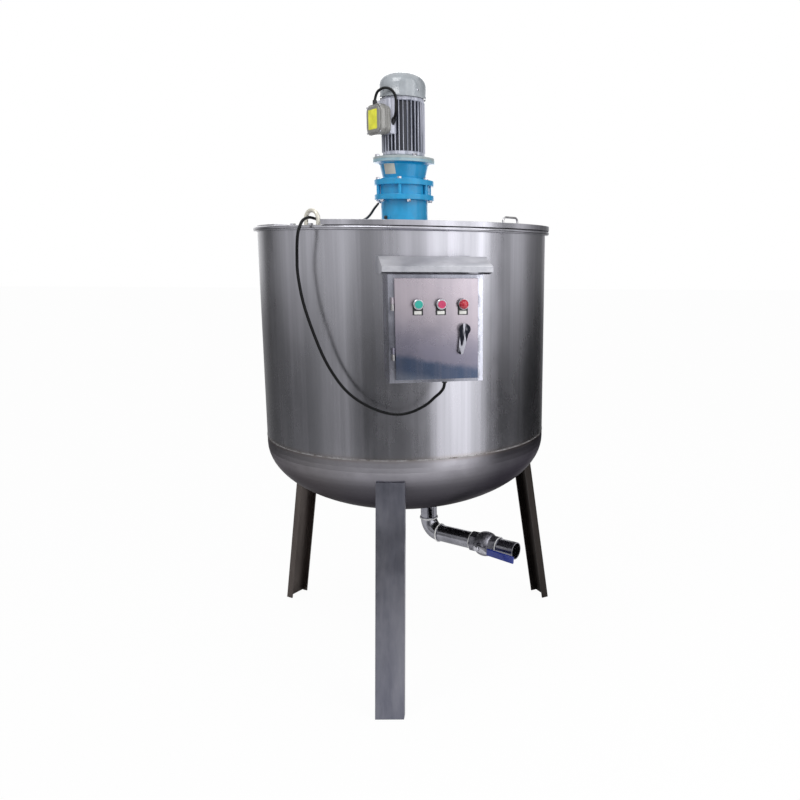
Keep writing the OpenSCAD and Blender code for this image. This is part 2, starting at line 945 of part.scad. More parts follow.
module valve_lever() {
    color("royalblue")
    at_drain()
    translate([valve_start + valve_l / 2, 0, 0])
    rotate([90, 0, 0])
    rotate([0, 0, -handle_tilt]) {
        translate([0, 0, drain_bore / 2 + 4]) cylinder(d = stem_d, h = stem_z - drain_bore / 2 + 2);
        translate([-handle_tail, -handle_w / 2, stem_z - 8])
            cube([handle_tail + sleeve_start, handle_w, handle_t]);
        translate([0, 0, stem_z - 8 + handle_t / 2])
            rotate([0, 90, 0]) rotate([0, 0, 90])
            translate([0, 0, sleeve_start]) linear_extrude(height = handle_l - sleeve_start)
            union() {
                square([sleeve_w - sleeve_t, sleeve_t], center = true);
                for (i = [-1, 1])
                    translate([i * (sleeve_w - sleeve_t) / 2, 0]) circle(d = sleeve_t, $fn = 24);
            }
    }
}

// Motor cable, from the terminal box over the rim to the control box
cable_d = 9;
cable_sides = 8;
cable_points = [[-80.1, 3.6, 1904.5], [-84.6, 10.8, 1896], [-87, 23, 1881], [-80, 34, 1865],
    [-71, 45, 1848], [-64, 60, 1828], [-59, 82, 1796], [-58, 101, 1762], [-64, 102, 1700],
    [-80, 84, 1650], [-92, 56, 1620], [-105, 16, 1599], [-128, -48, 1563], [-170, -165, 1536],
    [-214, -290, 1530], [-240, -348, 1534], [-263, -386, 1541], [-282, -413, 1545],
    [-297, -433, 1537], [-306, -444, 1519], [-314, -446, 1490], [-319, -438, 1430],
    [-318, -438, 1370], [-300, -449, 1274], [-252, -478, 1142], [-204, -500, 1060],
    [-158, -517, 1014], [-100, -532, 982], [-42, -543, 967], [8, -554, 974], [54, -564, 998],
    [80, -569, 1021.5], [96.8, -571, 1036.5], [106.5, -571, 1050.5], [110, -571, 1066]];
loop_points = [[-93.3, -58.3, 1937], [-93.3, -58.3, 1949], [-85.1, -61.7, 1973.5],
    [-67.3, -69.2, 1985.8], [-46.2, -78, 1984.8], [-29.4, -85, 1970.8], [-23.1, -87.6, 1949],
    [-23.1, -87.6, 1919.3], [-24.4, -85.5, 1904.9], [-31.3, -74.4, 1885.4]];

function unit(v) = v / norm(v);
function tangent(p, i) =
    unit(p[min(i + 1, len(p) - 1)] - p[max(i - 1, 0)]);

// A side direction carried along the route, so that the tube does not twist
function carried(p, i, side) =
    unit(side - (side * tangent(p, i)) * tangent(p, i));
function frames(p, i, side) =
    i == len(p) ? [] : concat([carried(p, i, side)], frames(p, i + 1, carried(p, i, side)));

module swept(p, d, n) {
    sides = frames(p, 0, [0.3, 1, 0.2]);
    rings = [for (i = [0 : len(p) - 1]) let (t = tangent(p, i), a = sides[i], b = cross(t, a))
        for (k = [0 : n - 1]) p[i] + d / 2 * (a * cos(360 * k / n) + b * sin(360 * k / n))];
    walls = [for (i = [0 : len(p) - 2]) for (k = [0 : n - 1])
        [i * n + k, (i + 1) * n + k, (i + 1) * n + (k + 1) % n, i * n + (k + 1) % n]];
    first = [for (k = [0 : n - 1]) k];
    last = [for (k = [n - 1 : -1 : 0]) (len(p) - 1) * n + k];
    polyhedron(rings, concat(walls, [first], [last]), convexity = 10);
}

// Points between the route's own, on a smooth curve through them
function between(p, i, s) =
    let (a = p[max(i - 1, 0)], b = p[i], c = p[i + 1], e = p[min(i + 2, len(p) - 1)])
    0.5 * ((2 * b) + (c - a) * s + (2 * a - 5 * b + 4 * c - e) * s * s
        + (3 * b - a - 3 * c + e) * s * s * s);
function smoothed(p, m) =
    concat([for (i = [0 : len(p) - 2]) for (j = [0 : m - 1]) between(p, i, j / m)], [p[len(p) - 1]]);

module motor_cable() {
    color("black") swept(smoothed(cable_points, 2), cable_d, cable_sides);
}

module terminal_loop() {
    color("black") swept(smoothed(loop_points, 2), cable_d, cable_sides);
}

shell();
dished_bottom();
leg_front();
leg_left();
leg_right();
bridge_plate();
bridge_webs();
fixed_cover();
cable_guide();
lid_hinge_leaves();
lid_panel();
lid_hinge_knuckles();
lid_handle();
gearbox_foot();
gearbox_housing();
pin_ring();
input_housing();
motor_flange();
motor_body();
fan_cover();
terminal_box();
terminal_gland();
agitator_shaft();
agitator_paddles();
control_box();
box_brackets();
box_hood();
box_hinge_leaves();
box_door();
legend_plates();
button_collars();
pilot_lamp();
button_green();
button_red();
door_lever();
box_gland();
drain_stub();
drain_elbow();
drain_pipe();
valve_body();
drain_nipple();
valve_lever();
motor_cable();
terminal_loop();
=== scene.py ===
import json
import math

import bmesh
import bpy
from mathutils import Matrix, Vector

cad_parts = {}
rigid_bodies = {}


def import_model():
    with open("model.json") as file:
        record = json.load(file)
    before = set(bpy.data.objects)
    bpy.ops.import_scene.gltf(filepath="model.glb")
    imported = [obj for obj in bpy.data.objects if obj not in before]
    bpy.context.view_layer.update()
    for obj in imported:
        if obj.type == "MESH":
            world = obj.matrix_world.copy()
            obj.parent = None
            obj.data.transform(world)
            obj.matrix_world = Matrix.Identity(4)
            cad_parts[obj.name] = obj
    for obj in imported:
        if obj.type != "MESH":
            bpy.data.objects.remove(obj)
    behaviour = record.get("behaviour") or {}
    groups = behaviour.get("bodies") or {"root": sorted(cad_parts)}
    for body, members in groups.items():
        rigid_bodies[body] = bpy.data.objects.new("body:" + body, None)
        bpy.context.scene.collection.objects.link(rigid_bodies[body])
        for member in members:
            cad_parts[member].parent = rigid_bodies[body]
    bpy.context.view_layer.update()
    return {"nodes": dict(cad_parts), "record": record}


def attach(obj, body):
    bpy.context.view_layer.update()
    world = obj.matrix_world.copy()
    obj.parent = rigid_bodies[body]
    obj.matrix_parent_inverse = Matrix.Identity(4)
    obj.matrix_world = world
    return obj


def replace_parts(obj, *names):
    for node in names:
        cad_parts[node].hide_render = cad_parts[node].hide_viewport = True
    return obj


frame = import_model()
NODES = frame["nodes"]
OF_BODY = {node: body for body, nodes in frame["record"]["behaviour"]["bodies"].items() for node in nodes}


# Places, in metres: the tank axis stands on the origin and the control box looks towards -Y
TANK_R = 0.500
SEAM_Z = 0.810
RIM_Z = 1.516
BRIDGE_TOP = 1.522
COVER_TOP = 1.528
BRIDGE = Matrix.Rotation(math.radians(-132), 4, "Z")
CABINET = Matrix.Rotation(math.radians(7.5), 4, "Z")
DRAIN = Matrix.Translation((0.072, -0.080, 0.426)) @ Matrix.Rotation(math.radians(-39.5), 4, "Z")
TERMINAL = Matrix.Rotation(math.radians(212), 4, "Z")
FLAT = Matrix.Identity(4)


def out_of_box(x, out, z):
    """Point on the control box: x to the right, out from the tank axis, z up."""
    return CABINET @ Vector((x, -out, z))


# Camera, fitted to the outlines of rim, weld seam and feet
CAMERA_AT = (0.0, -2.8292, 1.4431)
YAW, PITCH, ROLL = 0.1446, 0.1875, 0.0113
LENS = 34.52
SHIFT_X = -0.1466


def make_camera():
    ahead = Vector((math.sin(YAW) * math.cos(PITCH), math.cos(YAW) * math.cos(PITCH), -math.sin(PITCH)))
    level = Vector((math.cos(YAW), -math.sin(YAW), 0.0))
    upright = level.cross(ahead)
    right = level * math.cos(ROLL) + upright * math.sin(ROLL)
    top = upright * math.cos(ROLL) - level * math.sin(ROLL)
    data = bpy.data.cameras.new("camera")
    data.lens = LENS
    data.sensor_width = 36
    data.shift_x = SHIFT_X
    camera = bpy.data.objects.new("camera", data)
    bpy.context.scene.collection.objects.link(camera)
    camera.matrix_world = Matrix((
        (right.x, top.x, -ahead.x, CAMERA_AT[0]),
        (right.y, top.y, -ahead.y, CAMERA_AT[1]),
        (right.z, top.z, -ahead.z, CAMERA_AT[2]),
        (0, 0, 0, 1)))
    bpy.context.scene.camera = camera


make_camera()


class Wire:
    """An output socket of one finish. Sums and products of wires add Math nodes."""

    def __init__(self, finish, socket):
        self.finish, self.socket = finish, socket

    def _sum(self, operation, first, second):
        return self.finish.wire("Math", {"operation": operation}, {0: first, 1: second})

    def __add__(self, other):
        return self._sum("ADD", self, other)

    def __radd__(self, other):
        return self._sum("ADD", other, self)

    def __sub__(self, other):
        return self._sum("SUBTRACT", self, other)

    def __rsub__(self, other):
        return self._sum("SUBTRACT", other, self)

    def __mul__(self, other):
        return self._sum("MULTIPLY", self, other)

    def __rmul__(self, other):
        return self._sum("MULTIPLY", other, self)

    def __truediv__(self, other):
        return self._sum("DIVIDE", self, other)


class Finish:
    """A material made of nodes. Every node comes from node() or wire()."""

    def __init__(self, name, tree=None):
        if tree is None:
            self.material = bpy.data.materials.new(name)
            self.material.use_nodes = True
            tree = self.material.node_tree
        self.tree = tree
        self.tree.nodes.clear()

    def node(self, kind, settings=None, sockets=None):
        made = self.tree.nodes.new("ShaderNode" + kind)
        for name, value in (settings or {}).items():
            if name == "stops":
                self._stops(made.color_ramp, value)
            else:
                setattr(made, name, value)
        for key, value in (sockets or {}).items():
            if isinstance(value, Wire):
                self.tree.links.new(value.socket, made.inputs[key])
            else:
                made.inputs[key].default_value = value
        return made

    def wire(self, kind, settings=None, sockets=None, output=0):
        return Wire(self, self.node(kind, settings, sockets).outputs[output])

    @staticmethod
    def _stops(ramp, stops):
        while len(ramp.elements) < len(stops):
            ramp.elements.new(1.0)
        for element, (place, shade) in zip(ramp.elements, stops):
            element.position = place
            element.color = (*shade, 1) if hasattr(shade, "__len__") else (shade, shade, shade, 1)

    def spot(self):
        """The surface point, in the row frame."""
        return self.wire("TexCoord", output="Object")

    def axes(self):
        split = self.node("SeparateXYZ", sockets={0: self.spot()})
        return [Wire(self, split.outputs[i]) for i in range(3)]

    def stretched(self, scale, turn=0.0):
        """The surface point, turned about Z by so many degrees, then scaled on each axis."""
        point = self.spot()
        if turn:
            point = self.wire("Mapping", sockets={0: point, "Rotation": (0, 0, math.radians(-turn))})
        return self.wire("Mapping", sockets={0: point, "Scale": scale})

    def noise(self, vector, scale=1.0, detail=2.0, rough=0.5, offset=0.0):
        sockets = {"Vector": vector, "Scale": scale, "Detail": detail, "Roughness": rough}
        if offset:
            sockets["Vector"] = self.wire("VectorMath", {"operation": "ADD"}, {0: vector, 1: (offset,) * 3})
        return self.wire("TexNoise", sockets=sockets)

    def levels(self, value, low, high, to_low=0.0, to_high=1.0):
        return self.wire("MapRange", {"interpolation_type": "SMOOTHSTEP"},
                         {0: value, 1: low, 2: high, 3: to_low, 4: to_high})

    def ramp(self, value, stops):
        return self.wire("ValToRGB", {"stops": stops}, {0: value})

    def mix(self, share, first, second, how="MIX"):
        return self.wire("Mix", {"data_type": "RGBA", "blend_type": how},
                         {0: share, 6: rgba(first), 7: rgba(second)}, output=2)

    def bump(self, height, strength, distance, normal=None):
        sockets = {"Height": height, "Strength": strength, "Distance": distance}
        if normal is not None:
            sockets["Normal"] = normal
        return self.wire("Bump", sockets=sockets)

    def surface(self, **sockets):
        """Ends the finish in a Principled shader. Keywords name its sockets, with _ for a space."""
        shader = self.node("BsdfPrincipled", sockets={
            name.replace("_", " "): value if isinstance(value, Wire) else rgba(value)
            for name, value in sockets.items()})
        self.node("OutputMaterial", sockets={0: Wire(self, shader.outputs[0])})
        return self.material


def rgba(value):
    return (*value, 1.0) if isinstance(value, tuple) and len(value) == 3 else value


def tone(red, green, blue):
    """A colour given in the 0 to 255 steps of a screen, as linear light."""
    steps = [c / 255 for c in (red, green, blue)]
    return tuple(c / 12.92 if c <= 0.04045 else ((c + 0.055) / 1.055) ** 2.4 for c in steps)


# Finishes
BLUE, BLUE_WORN = tone(4, 152, 206), tone(100, 186, 212)
GRAIN_UP = (55, 55, 1.1)


def steel(name, light, dark, rough=0.27, grain=GRAIN_UP, turn=0.0, scratch=0.02, clouds=0.5):
    """Rolled stainless sheet: long streaks along the grain, cloudy wiping marks, fine scratches."""
    f = Finish(name)
    streaks = f.noise(f.stretched(grain, turn), 1.0, 4.0, 0.62)
    threads = f.noise(f.stretched(tuple(7 * g for g in grain), turn), 1.0, 2.0, 0.6, 3.0)
    wiped = f.noise(f.spot(), 5.5, 5.0, 0.6, 7.0)
    share = f.levels(streaks * 0.6 + threads * 0.15 + wiped * clouds * 0.5, 0.22, 0.78)
    height = streaks * 0.5 + threads
    return f.surface(
        Base_Color=f.mix(share, dark, light),
        Metallic=1.0,
        Roughness=f.levels(wiped, 0.3, 0.7, rough - 0.04, rough + 0.07) + threads * 0.05,
        Normal=f.bump(height, scratch * 10, 0.0002))


def shell_steel():
    """The shell's own sheet: upright streaks and a straw tint beside the weld seam."""
    f = Finish("shell_sheet")
    x, y, z = f.axes()
    streaks = f.noise(f.stretched((26, 26, 0.5)), 1.0, 4.0, 0.6)
    threads = f.noise(f.stretched((190, 190, 2.2)), 1.0, 3.0, 0.6, 3.0)
    wiped = f.noise(f.stretched((4, 4, 2.2)), 1.0, 5.0, 0.6, 7.0)
    share = f.levels(streaks * 0.72 + threads * 0.12 + wiped * 0.3, 0.38, 0.82)
    sheet = f.mix(share, tone(160, 160, 167), tone(190, 189, 198))
    seam = f.levels(z, SEAM_Z + 0.002, SEAM_Z + 0.016, 1.0, 0.0)
    tinted = f.mix(seam * (0.12 + wiped * 0.25), sheet, tone(150, 132, 112))
    return f.surface(
        Base_Color=tinted, Metallic=1.0,
        Roughness=f.levels(wiped, 0.3, 0.7, 0.21, 0.3) + threads * 0.04,
        Normal=f.bump(streaks * 0.6 + threads, 0.06, 0.0003))


def dish_steel():
    """The spun bottom: round marks of the spinning roller, duller than the shell. Its colour holds painted shade: dark
    low down, near black at its lowest part, darker on the left and darker still on the right.
    """
    f = Finish("spun_bottom")
    x, y, z = f.axes()
    rings = f.wire("TexWave", {"wave_type": "RINGS", "rings_direction": "Z", "bands_direction": "Z"},
                   {"Vector": f.spot(), "Scale": 42.0, "Distortion": 1.6, "Detail": 2.0})
    wiped = f.noise(f.spot(), 6.0, 5.0, 0.6, 4.0)
    seam = f.levels(z, SEAM_Z - 0.014, SEAM_Z - 0.002)
    # painted shade: the dish darker low down and near black at its lowest part
    sheet = f.mix(f.levels(z, 0.70, 0.80), tone(92, 90, 96), tone(176, 174, 182))
    sheet = f.mix(f.levels(z + (wiped - 0.5) * 0.05, 0.58, 0.70), tone(22, 21, 23), sheet)
    sheet = f.mix(f.levels(wiped * 0.9 + rings * 0.06, 0.3, 0.75) * 0.4, sheet, tone(92, 90, 94))
    # painted shade: darker on the left side and darker still on the right
    sheet = f.mix(f.levels(x, -0.34, -0.10, 0.5, 0.0), sheet, tone(88, 84, 80))
    sheet = f.mix(f.levels(x, 0.17, 0.31, 0.0, 0.8), sheet, tone(56, 54, 60))
    return f.surface(
        Base_Color=f.mix(seam * (0.12 + wiped * 0.25), sheet, tone(132, 112, 94)), Metallic=1.0,
        Roughness=f.levels(wiped, 0.3, 0.7, 0.34, 0.46), Specular_Tint=(0.42, 0.41, 0.43),
        Normal=f.bump(rings * 0.05 + wiped, 0.07, 0.0006))


def paint(name, colour, worn, rough=0.38, peel=0.12, coat=0.25):
    """Sprayed enamel on a casting: orange peel, uneven colour and pale specks of dust."""
    f = Finish(name)
    peel_noise = f.noise(f.spot(), 420.0, 2.0, 0.5)
    uneven = f.noise(f.spot(), 22.0, 5.0, 0.62, 2.0)
    speck = f.levels(f.noise(f.spot(), 160.0, 4.0, 0.7, 5.0), 0.66, 0.76)
    coloured = f.mix(f.levels(uneven, 0.32, 0.72), tuple(c * 0.80 for c in colour), colour)
    return f.surface(
        Base_Color=f.mix(speck * 0.55, coloured, worn),
        Roughness=f.levels(uneven, 0.3, 0.7, rough - 0.07, rough + 0.1) + speck * 0.15,
        Coat_Weight=coat, Coat_Roughness=0.16,
        Normal=f.bump(peel_noise * 0.5 + uneven, peel, 0.0008))


def plastic(name, colour, rough=0.42, fine=0.08, coat=0.0, gloss=0.5):
    """Moulded plastic or rubber with a fine spark texture."""
    f = Finish(name)
    spark = f.noise(f.spot(), 700.0, 2.0, 0.5)
    smear = f.noise(f.spot(), 35.0, 4.0, 0.6, 3.0)
    return f.surface(
        Base_Color=f.mix(f.levels(smear, 0.35, 0.7), tuple(c * 0.78 for c in colour), colour),
        Roughness=f.levels(smear, 0.3, 0.7, rough - 0.08, rough + 0.08),
        Specular_IOR_Level=gloss, Coat_Weight=coat, Coat_Roughness=0.1,
        Normal=f.bump(spark * 0.6 + smear, fine, 0.0004))


def cast_steel(name, light, dark, rough=0.42, lumps=0.35):
    """Cast or shot-blasted steel: pitted skin, polished on its high places."""
    f = Finish(name)
    pits = f.noise(f.spot(), 260.0, 4.0, 0.65)
    large = f.noise(f.spot(), 38.0, 4.0, 0.6, 2.0)
    return f.surface(
        Base_Color=f.mix(f.levels(pits * 0.5 + large * 0.5, 0.35, 0.65), dark, light), Metallic=1.0,
        Roughness=f.levels(pits, 0.3, 0.7, rough - 0.08, rough + 0.12),
        Normal=f.bump(pits * 0.7 + large, lumps, 0.0009))


def door_film_and_painted_reflection():
    """The door's sheet under its clear protective film, with faint creases; its colour holds painted reflection: light
    above, a dark bluish band lower down and a paler bluish foot, the bands slanting down to the right.
    """
    f = Finish("door_sheet")
    x, y, z = f.axes()
    creases = f.levels(f.noise(f.stretched((9, 9, 16), 20.0), 1.0, 5.0, 0.55, 4.0), 0.46, 0.53)
    wiped = f.noise(f.spot(), 7.0, 5.0, 0.6, 7.0)
    streaks = f.noise(f.stretched((60, 60, 1.2)), 1.0, 3.0, 0.6)
    height = z + x * 0.2 + (wiped - 0.5) * 0.06
    # painted reflection: light above, a dark bluish band and a paler bluish foot
    sheet = f.mix(f.levels(height, 1.17, 1.31), tone(134, 131, 148), tone(180, 171, 180))
    sheet = f.mix(f.levels(height, 1.142, 1.166), tone(78, 92, 118), sheet)
    sheet = f.mix(f.levels(height, 1.084, 1.120, 1.0, 0.0), sheet, tone(128, 136, 154))
    return f.surface(
        Base_Color=f.mix(f.levels(streaks, 0.35, 0.7) * 0.2, sheet, tone(140, 136, 148)), Metallic=1.0,
        Roughness=f.levels(wiped, 0.3, 0.7, 0.22, 0.34),
        Coat_Weight=0.3, Coat_Roughness=0.08,
        Normal=f.bump(creases * 0.5 + streaks * 0.3, 0.1, 0.0004))


def filmed(name, light, dark, metallic=0.6):
    """Sheet that still wears its cloudy protective film, so that it is pale and hardly mirrors."""
    f = Finish(name)
    wiped = f.noise(f.spot(), 9.0, 5.0, 0.6, 5.0)
    creases = f.levels(f.noise(f.spot(), 60.0, 5.0, 0.65, 8.0), 0.42, 0.58)
    return f.surface(
        Base_Color=f.mix(f.levels(wiped, 0.3, 0.7), dark, light), Metallic=metallic,
        Roughness=f.levels(wiped, 0.3, 0.7, 0.28, 0.42), Coat_Weight=0.2, Coat_Roughness=0.1,
        Normal=f.bump(wiped + creases * 0.2, 0.12, 0.0006))


def cabinet_sheet():
    """The control box: film left on the right edge."""
    f = Finish("cabinet_sheet")
    x, y, z = f.axes()
    across = x * math.cos(math.radians(7.5)) + y * math.sin(math.radians(7.5))
    wiped = f.noise(f.spot(), 9.0, 5.0, 0.6, 5.0)
    creases = f.levels(f.noise(f.stretched((70, 70, 30)), 1.0, 5.0, 0.65, 8.0), 0.44, 0.56)
    right = f.levels(across + (creases - 0.5) * 0.006, 0.118, 0.128)
    sheet = f.mix(f.levels(wiped, 0.3, 0.7), tone(126, 127, 138), tone(170, 171, 182))
    return f.surface(
        Base_Color=f.mix(right, sheet, tone(220, 222, 236)), Metallic=f.levels(right, 0.0, 1.0, 1.0, 0.55),
        Roughness=f.levels(wiped, 0.3, 0.7, 0.2, 0.34),
        Normal=f.bump(creases, 0.1, 0.0006))


def chrome():
    """Polished casting whose colour holds a painted reflection: dark and bright parts of a workshop as long flecks."""
    f = Finish("polished_casting")
    # painted reflection: dark and bright flecks in the base colour
    flecks = f.levels(f.noise(f.stretched((120, 120, 20), 20.0), 1.0, 2.0, 0.5, 2.0), 0.48, 0.60)
    return f.surface(
        Base_Color=f.mix(flecks, tone(34, 36, 44), tone(186, 186, 196)), Metallic=1.0, Roughness=0.16,
        Normal=f.bump(flecks, 0.1, 0.0008))


def motor_enamel():
    """Grey enamel on the finned housing, with painted shade dark between the fins and a painted highlight on their
    tips.
    """
    f = Finish("motor_enamel")
    x, y, z = f.axes()
    radius = f.wire("Math", {"operation": "SQRT"}, {0: x * x + y * y})
    uneven = f.noise(f.stretched((60, 60, 5)), 1.0, 4.0, 0.6, 2.0)
    # painted shade between the fins and a painted highlight on the fin tips, by distance from the axis
    fin_shade_and_highlight = f.levels(radius, 0.0655, 0.0735)
    coloured = f.mix(fin_shade_and_highlight, tone(40, 44, 58), f.mix(f.levels(uneven, 0.35, 0.65), tone(150, 154, 168), tone(206, 208, 222)))
    return f.surface(
        Base_Color=coloured,
        Roughness=f.levels(uneven, 0.3, 0.7, 0.28, 0.42), Coat_Weight=0.4, Coat_Roughness=0.12,
        Normal=f.bump(uneven, 0.08, 0.0006))


def banded_blue():
    """Blue enamel below, the bare pale flange above."""
    f = Finish("input_enamel")
    x, y, z = f.axes()
    uneven = f.noise(f.spot(), 22.0, 5.0, 0.62, 2.0)
    blue = f.mix(f.levels(uneven, 0.32, 0.72), tuple(c * 0.82 for c in BLUE), BLUE)
    pale = f.mix(f.levels(uneven, 0.32, 0.72), tone(120, 160, 176), tone(158, 180, 186))
    return f.surface(
        Base_Color=f.mix(f.levels(z, 1.7485, 1.7515), blue, pale),
        Roughness=f.levels(uneven, 0.3, 0.7, 0.28, 0.42), Coat_Weight=0.35, Coat_Roughness=0.14,
        Normal=f.bump(uneven, 0.1, 0.0008))


def lens(name, colour):
    """Moulded clear cap over its reflector: deep colour mottled by fine ribs."""
    f = Finish(name)
    ribs = f.noise(f.spot(), 300.0, 1.0, 0.5)
    return f.surface(
        Base_Color=f.mix(f.levels(ribs, 0.3, 0.7), tuple(c * 0.7 for c in colour), colour),
        Roughness=f.levels(ribs, 0.2, 0.8, 0.10, 0.2),
        Coat_Weight=0.6, Coat_Roughness=0.05,
        Normal=f.bump(ribs, 0.05, 0.0004))


SHEET_LIGHT, SHEET_DARK = tone(196, 195, 202), tone(150, 149, 156)
GREY, GREY_WORN = tone(150, 155, 160), tone(186, 190, 192)
FINISHES = {
    "tank_steel": shell_steel(),
    "bottom_steel": dish_steel(),
    "leg_steel": steel("leg_sheet", tone(158, 158, 168), tone(104, 106, 120), 0.34, (12, 12, 1.6)),
    "plate_steel": steel("cover_sheet", tone(232, 231, 238), tone(204, 203, 210), 0.28, (50, 1.4, 50), -132),
    "bar_steel": steel("bar_steel", tone(205, 204, 206), tone(140, 138, 140), 0.22, (40, 40, 40)),
    "box_steel": steel("cabinet_sheet", tone(184, 184, 196), tone(138, 138, 150), 0.24, (60, 60, 1.2)),
    "pipe_steel": steel("pipe_steel", tone(172, 172, 180), tone(108, 108, 118), 0.2, (12, 12, 12)),
    "valve_metal": cast_steel("valve_casting", tone(168, 167, 176), tone(96, 96, 106)),
    "bright_metal": steel("turned_steel", tone(214, 214, 222), tone(160, 160, 168), 0.16, (80, 80, 80)),
    "gearbox_blue": paint("gearbox_enamel", BLUE, BLUE_WORN),
    "motor_grey": motor_enamel(),
    "motor_silver": paint("flange_enamel", tone(166, 178, 180), tone(200, 190, 186), 0.3),
    "fan_grey": paint("fan_cover_enamel", tone(158, 164, 170), GREY_WORN, 0.2, 0.05, 0.7),
    "gland_black": plastic("gland_plastic", tone(34, 34, 38)),
    "cable_black": plastic("cable_sheath", tone(6, 7, 10), 0.36, 0.03, 0.0, 0.22),
    "label_black": plastic("holder_plastic", tone(30, 30, 34), 0.34),
    "lamp_red": lens("lamp_lens", tone(190, 28, 52)),
    "cap_green": plastic("green_cap", tone(32, 170, 156), 0.3, 0.03, 0.4),
    "cap_red": plastic("red_cap", tone(204, 52, 104), 0.3, 0.03, 0.4),
    "handle_blue": plastic("sleeve_vinyl", tone(26, 48, 140), 0.3, 0.08, 0.3),
}
SLOT_OF = {row["node"]: row["material_slot"] for row in frame["record"]["subparts"]}


def plain_object(name, mesh):
    made = bpy.data.objects.new(name, mesh)
    bpy.context.scene.collection.objects.link(made)
    return made


def settle(piece, body, slot, finish=None):
    """Gives a finished piece its material, the slot's finish unless another is given, and its body."""
    piece.data.materials.clear()
    piece.data.materials.append(finish or FINISHES[slot])
    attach(piece, body)
    return piece


# Meshes
def mesh_of(name, points, faces):
    mesh = bpy.data.meshes.new(name)
    mesh.from_pydata([tuple(p) for p in points], [], faces)
    mesh.update()
    return mesh


def shaded(mesh, angle=32):
    """Smooth shading that keeps every edge sharper than the angle."""
    mesh.polygons.foreach_set("use_smooth", [True] * len(mesh.polygons))
    mesh.set_sharp_from_angle(angle=math.radians(angle))
    return mesh


def turned(name, profile, sides=64, place=FLAT):
    """Solid of revolution about Z from (radius, height) pairs that start and end on the axis."""
    points, rows = [], []
    for radius, height in profile:
        if radius < 1e-7:
            rows.append([len(points)] * sides)
            points.append((0, 0, height))
        else:
            rows.append(range(len(points), len(points) + sides))
            points += [(radius * math.cos(a), radius * math.sin(a), height)
                       for a in (2 * math.pi * i / sides for i in range(sides))]
    faces = []
    for low, high in zip(rows, rows[1:]):
        for i in range(sides):
            j = (i + 1) % sides
            corners = [low[i], low[j], high[j], high[i]]
            faces.append(tuple(dict.fromkeys(corners)))
    mesh = mesh_of(name, points, faces)
    mesh.transform(place)
    return shaded(mesh)


def hoop(name, radius, wire, sides=72, around=10, place=FLAT):
    """Closed ring of round wire about Z."""
    points = [((radius + wire * math.cos(b)) * math.cos(a), (radius + wire * math.cos(b)) * math.sin(a), wire * math.sin(b))
              for a in (2 * math.pi * i / sides for i in range(sides))
              for b in (2 * math.pi * k / around for k in range(around))]
    faces = [(i * around + k, (i + 1) % sides * around + k,
              (i + 1) % sides * around + (k + 1) % around, i * around + (k + 1) % around)
             for i in range(sides) for k in range(around)]
    mesh = mesh_of(name, points, faces)
    mesh.transform(place)
    return shaded(mesh, 80)


def block(name, low, high, place=FLAT, soft=0.0, segments=2):
    """Box between two corners with its edges rounded by soft."""
    work = bmesh.new()
    bmesh.ops.create_cube(work, size=1.0)
    size = [h - l for l, h in zip(low, high)]
    middle = [(h + l) / 2 for l, h in zip(low, high)]
    for v in work.verts:
        v.co = Vector(middle[i] + v.co[i] * size[i] for i in range(3))
    if soft:
        bmesh.ops.bevel(work, geom=list(work.edges), offset=soft, offset_type="OFFSET",
                        segments=segments, profile=0.5, affect="EDGES")
    return written(name, work, place)


def plate(name, outline, low, high, place=FLAT, soft=0.0, segments=2):
    """Flat outline in X and Y raised from low to high, with its rims rounded by soft."""
    work = bmesh.new()
    ring = [work.verts.new((x, y, low)) for x, y in outline]
    face = work.faces.new(ring)
    raised = bmesh.ops.extrude_face_region(work, geom=[face])
    for v in (g for g in raised["geom"] if isinstance(g, bmesh.types.BMVert)):
        v.co.z = high
    bmesh.ops.recalc_face_normals(work, faces=work.faces)
    if soft:
        rims = [e for e in work.edges if abs(e.verts[0].co.z - e.verts[1].co.z) < 1e-7]
        bmesh.ops.bevel(work, geom=rims, offset=soft, offset_type="OFFSET",
                        segments=segments, profile=0.5, affect="EDGES")
    return written(name, work, place)


def written(name, work, place=FLAT, angle=32):
    mesh = bpy.data.meshes.new(name)
    work.to_mesh(mesh)
    work.free()
    mesh.transform(place)
    return shaded(mesh, angle)


def rounded_outline(width, height, corner, steps=6):
    """Outline of a rounded rectangle about the origin."""
    outline = []
    for cx, cy, start in ((1, 1, 0), (-1, 1, 90), (-1, -1, 180), (1, -1, 270)):
        for i in range(steps + 1):
            a = math.radians(start + 90 * i / steps)
            outline.append((cx * (width / 2 - corner) + corner * math.cos(a),
                            cy * (height / 2 - corner) + corner * math.sin(a)))
    return outline


def together(name, *meshes):
    """Several meshes as one."""
    work = bmesh.new()
    for mesh in meshes:
        work.from_mesh(mesh)
    return written(name, work)


def plain_mesh(piece):
    """The piece's mesh with its modifiers applied."""
    bpy.context.view_layer.update()
    seen = piece.evaluated_get(bpy.context.evaluated_depsgraph_get())
    return bpy.data.meshes.new_from_object(seen)


def softened(node, width=0.0008, finish=None, angle=38, segments=2):
    """A node's own shape with its sharp edges broken, as a new piece that stands for it."""
    work = bmesh.new()
    work.from_mesh(NODES[node].data)
    bmesh.ops.remove_doubles(work, verts=work.verts, dist=2e-6)
    bmesh.ops.dissolve_limit(work, angle_limit=math.radians(0.4), verts=work.verts, edges=work.edges)
    edges = [e for e in work.edges if e.is_manifold and e.calc_face_angle() > math.radians(angle)
             and e.calc_length() > 2.5 * width]
    bmesh.ops.bevel(work, geom=edges, offset=width, offset_type="OFFSET", segments=segments,
                    profile=0.5, affect="EDGES", clamp_overlap=True)
    piece = plain_object(node + "_softened", written(node + "_softened", work))
    weigh = piece.modifiers.new("even_faces", "WEIGHTED_NORMAL")
    weigh.keep_sharp = True
    mesh = plain_mesh(piece)
    piece.modifiers.remove(weigh)
    piece.data = mesh
    settle(piece, OF_BODY[node], SLOT_OF[node], finish)
    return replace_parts(piece, node)


def added(name, mesh, body, slot, finish=None):
    return settle(plain_object(name, mesh), body, slot, finish)


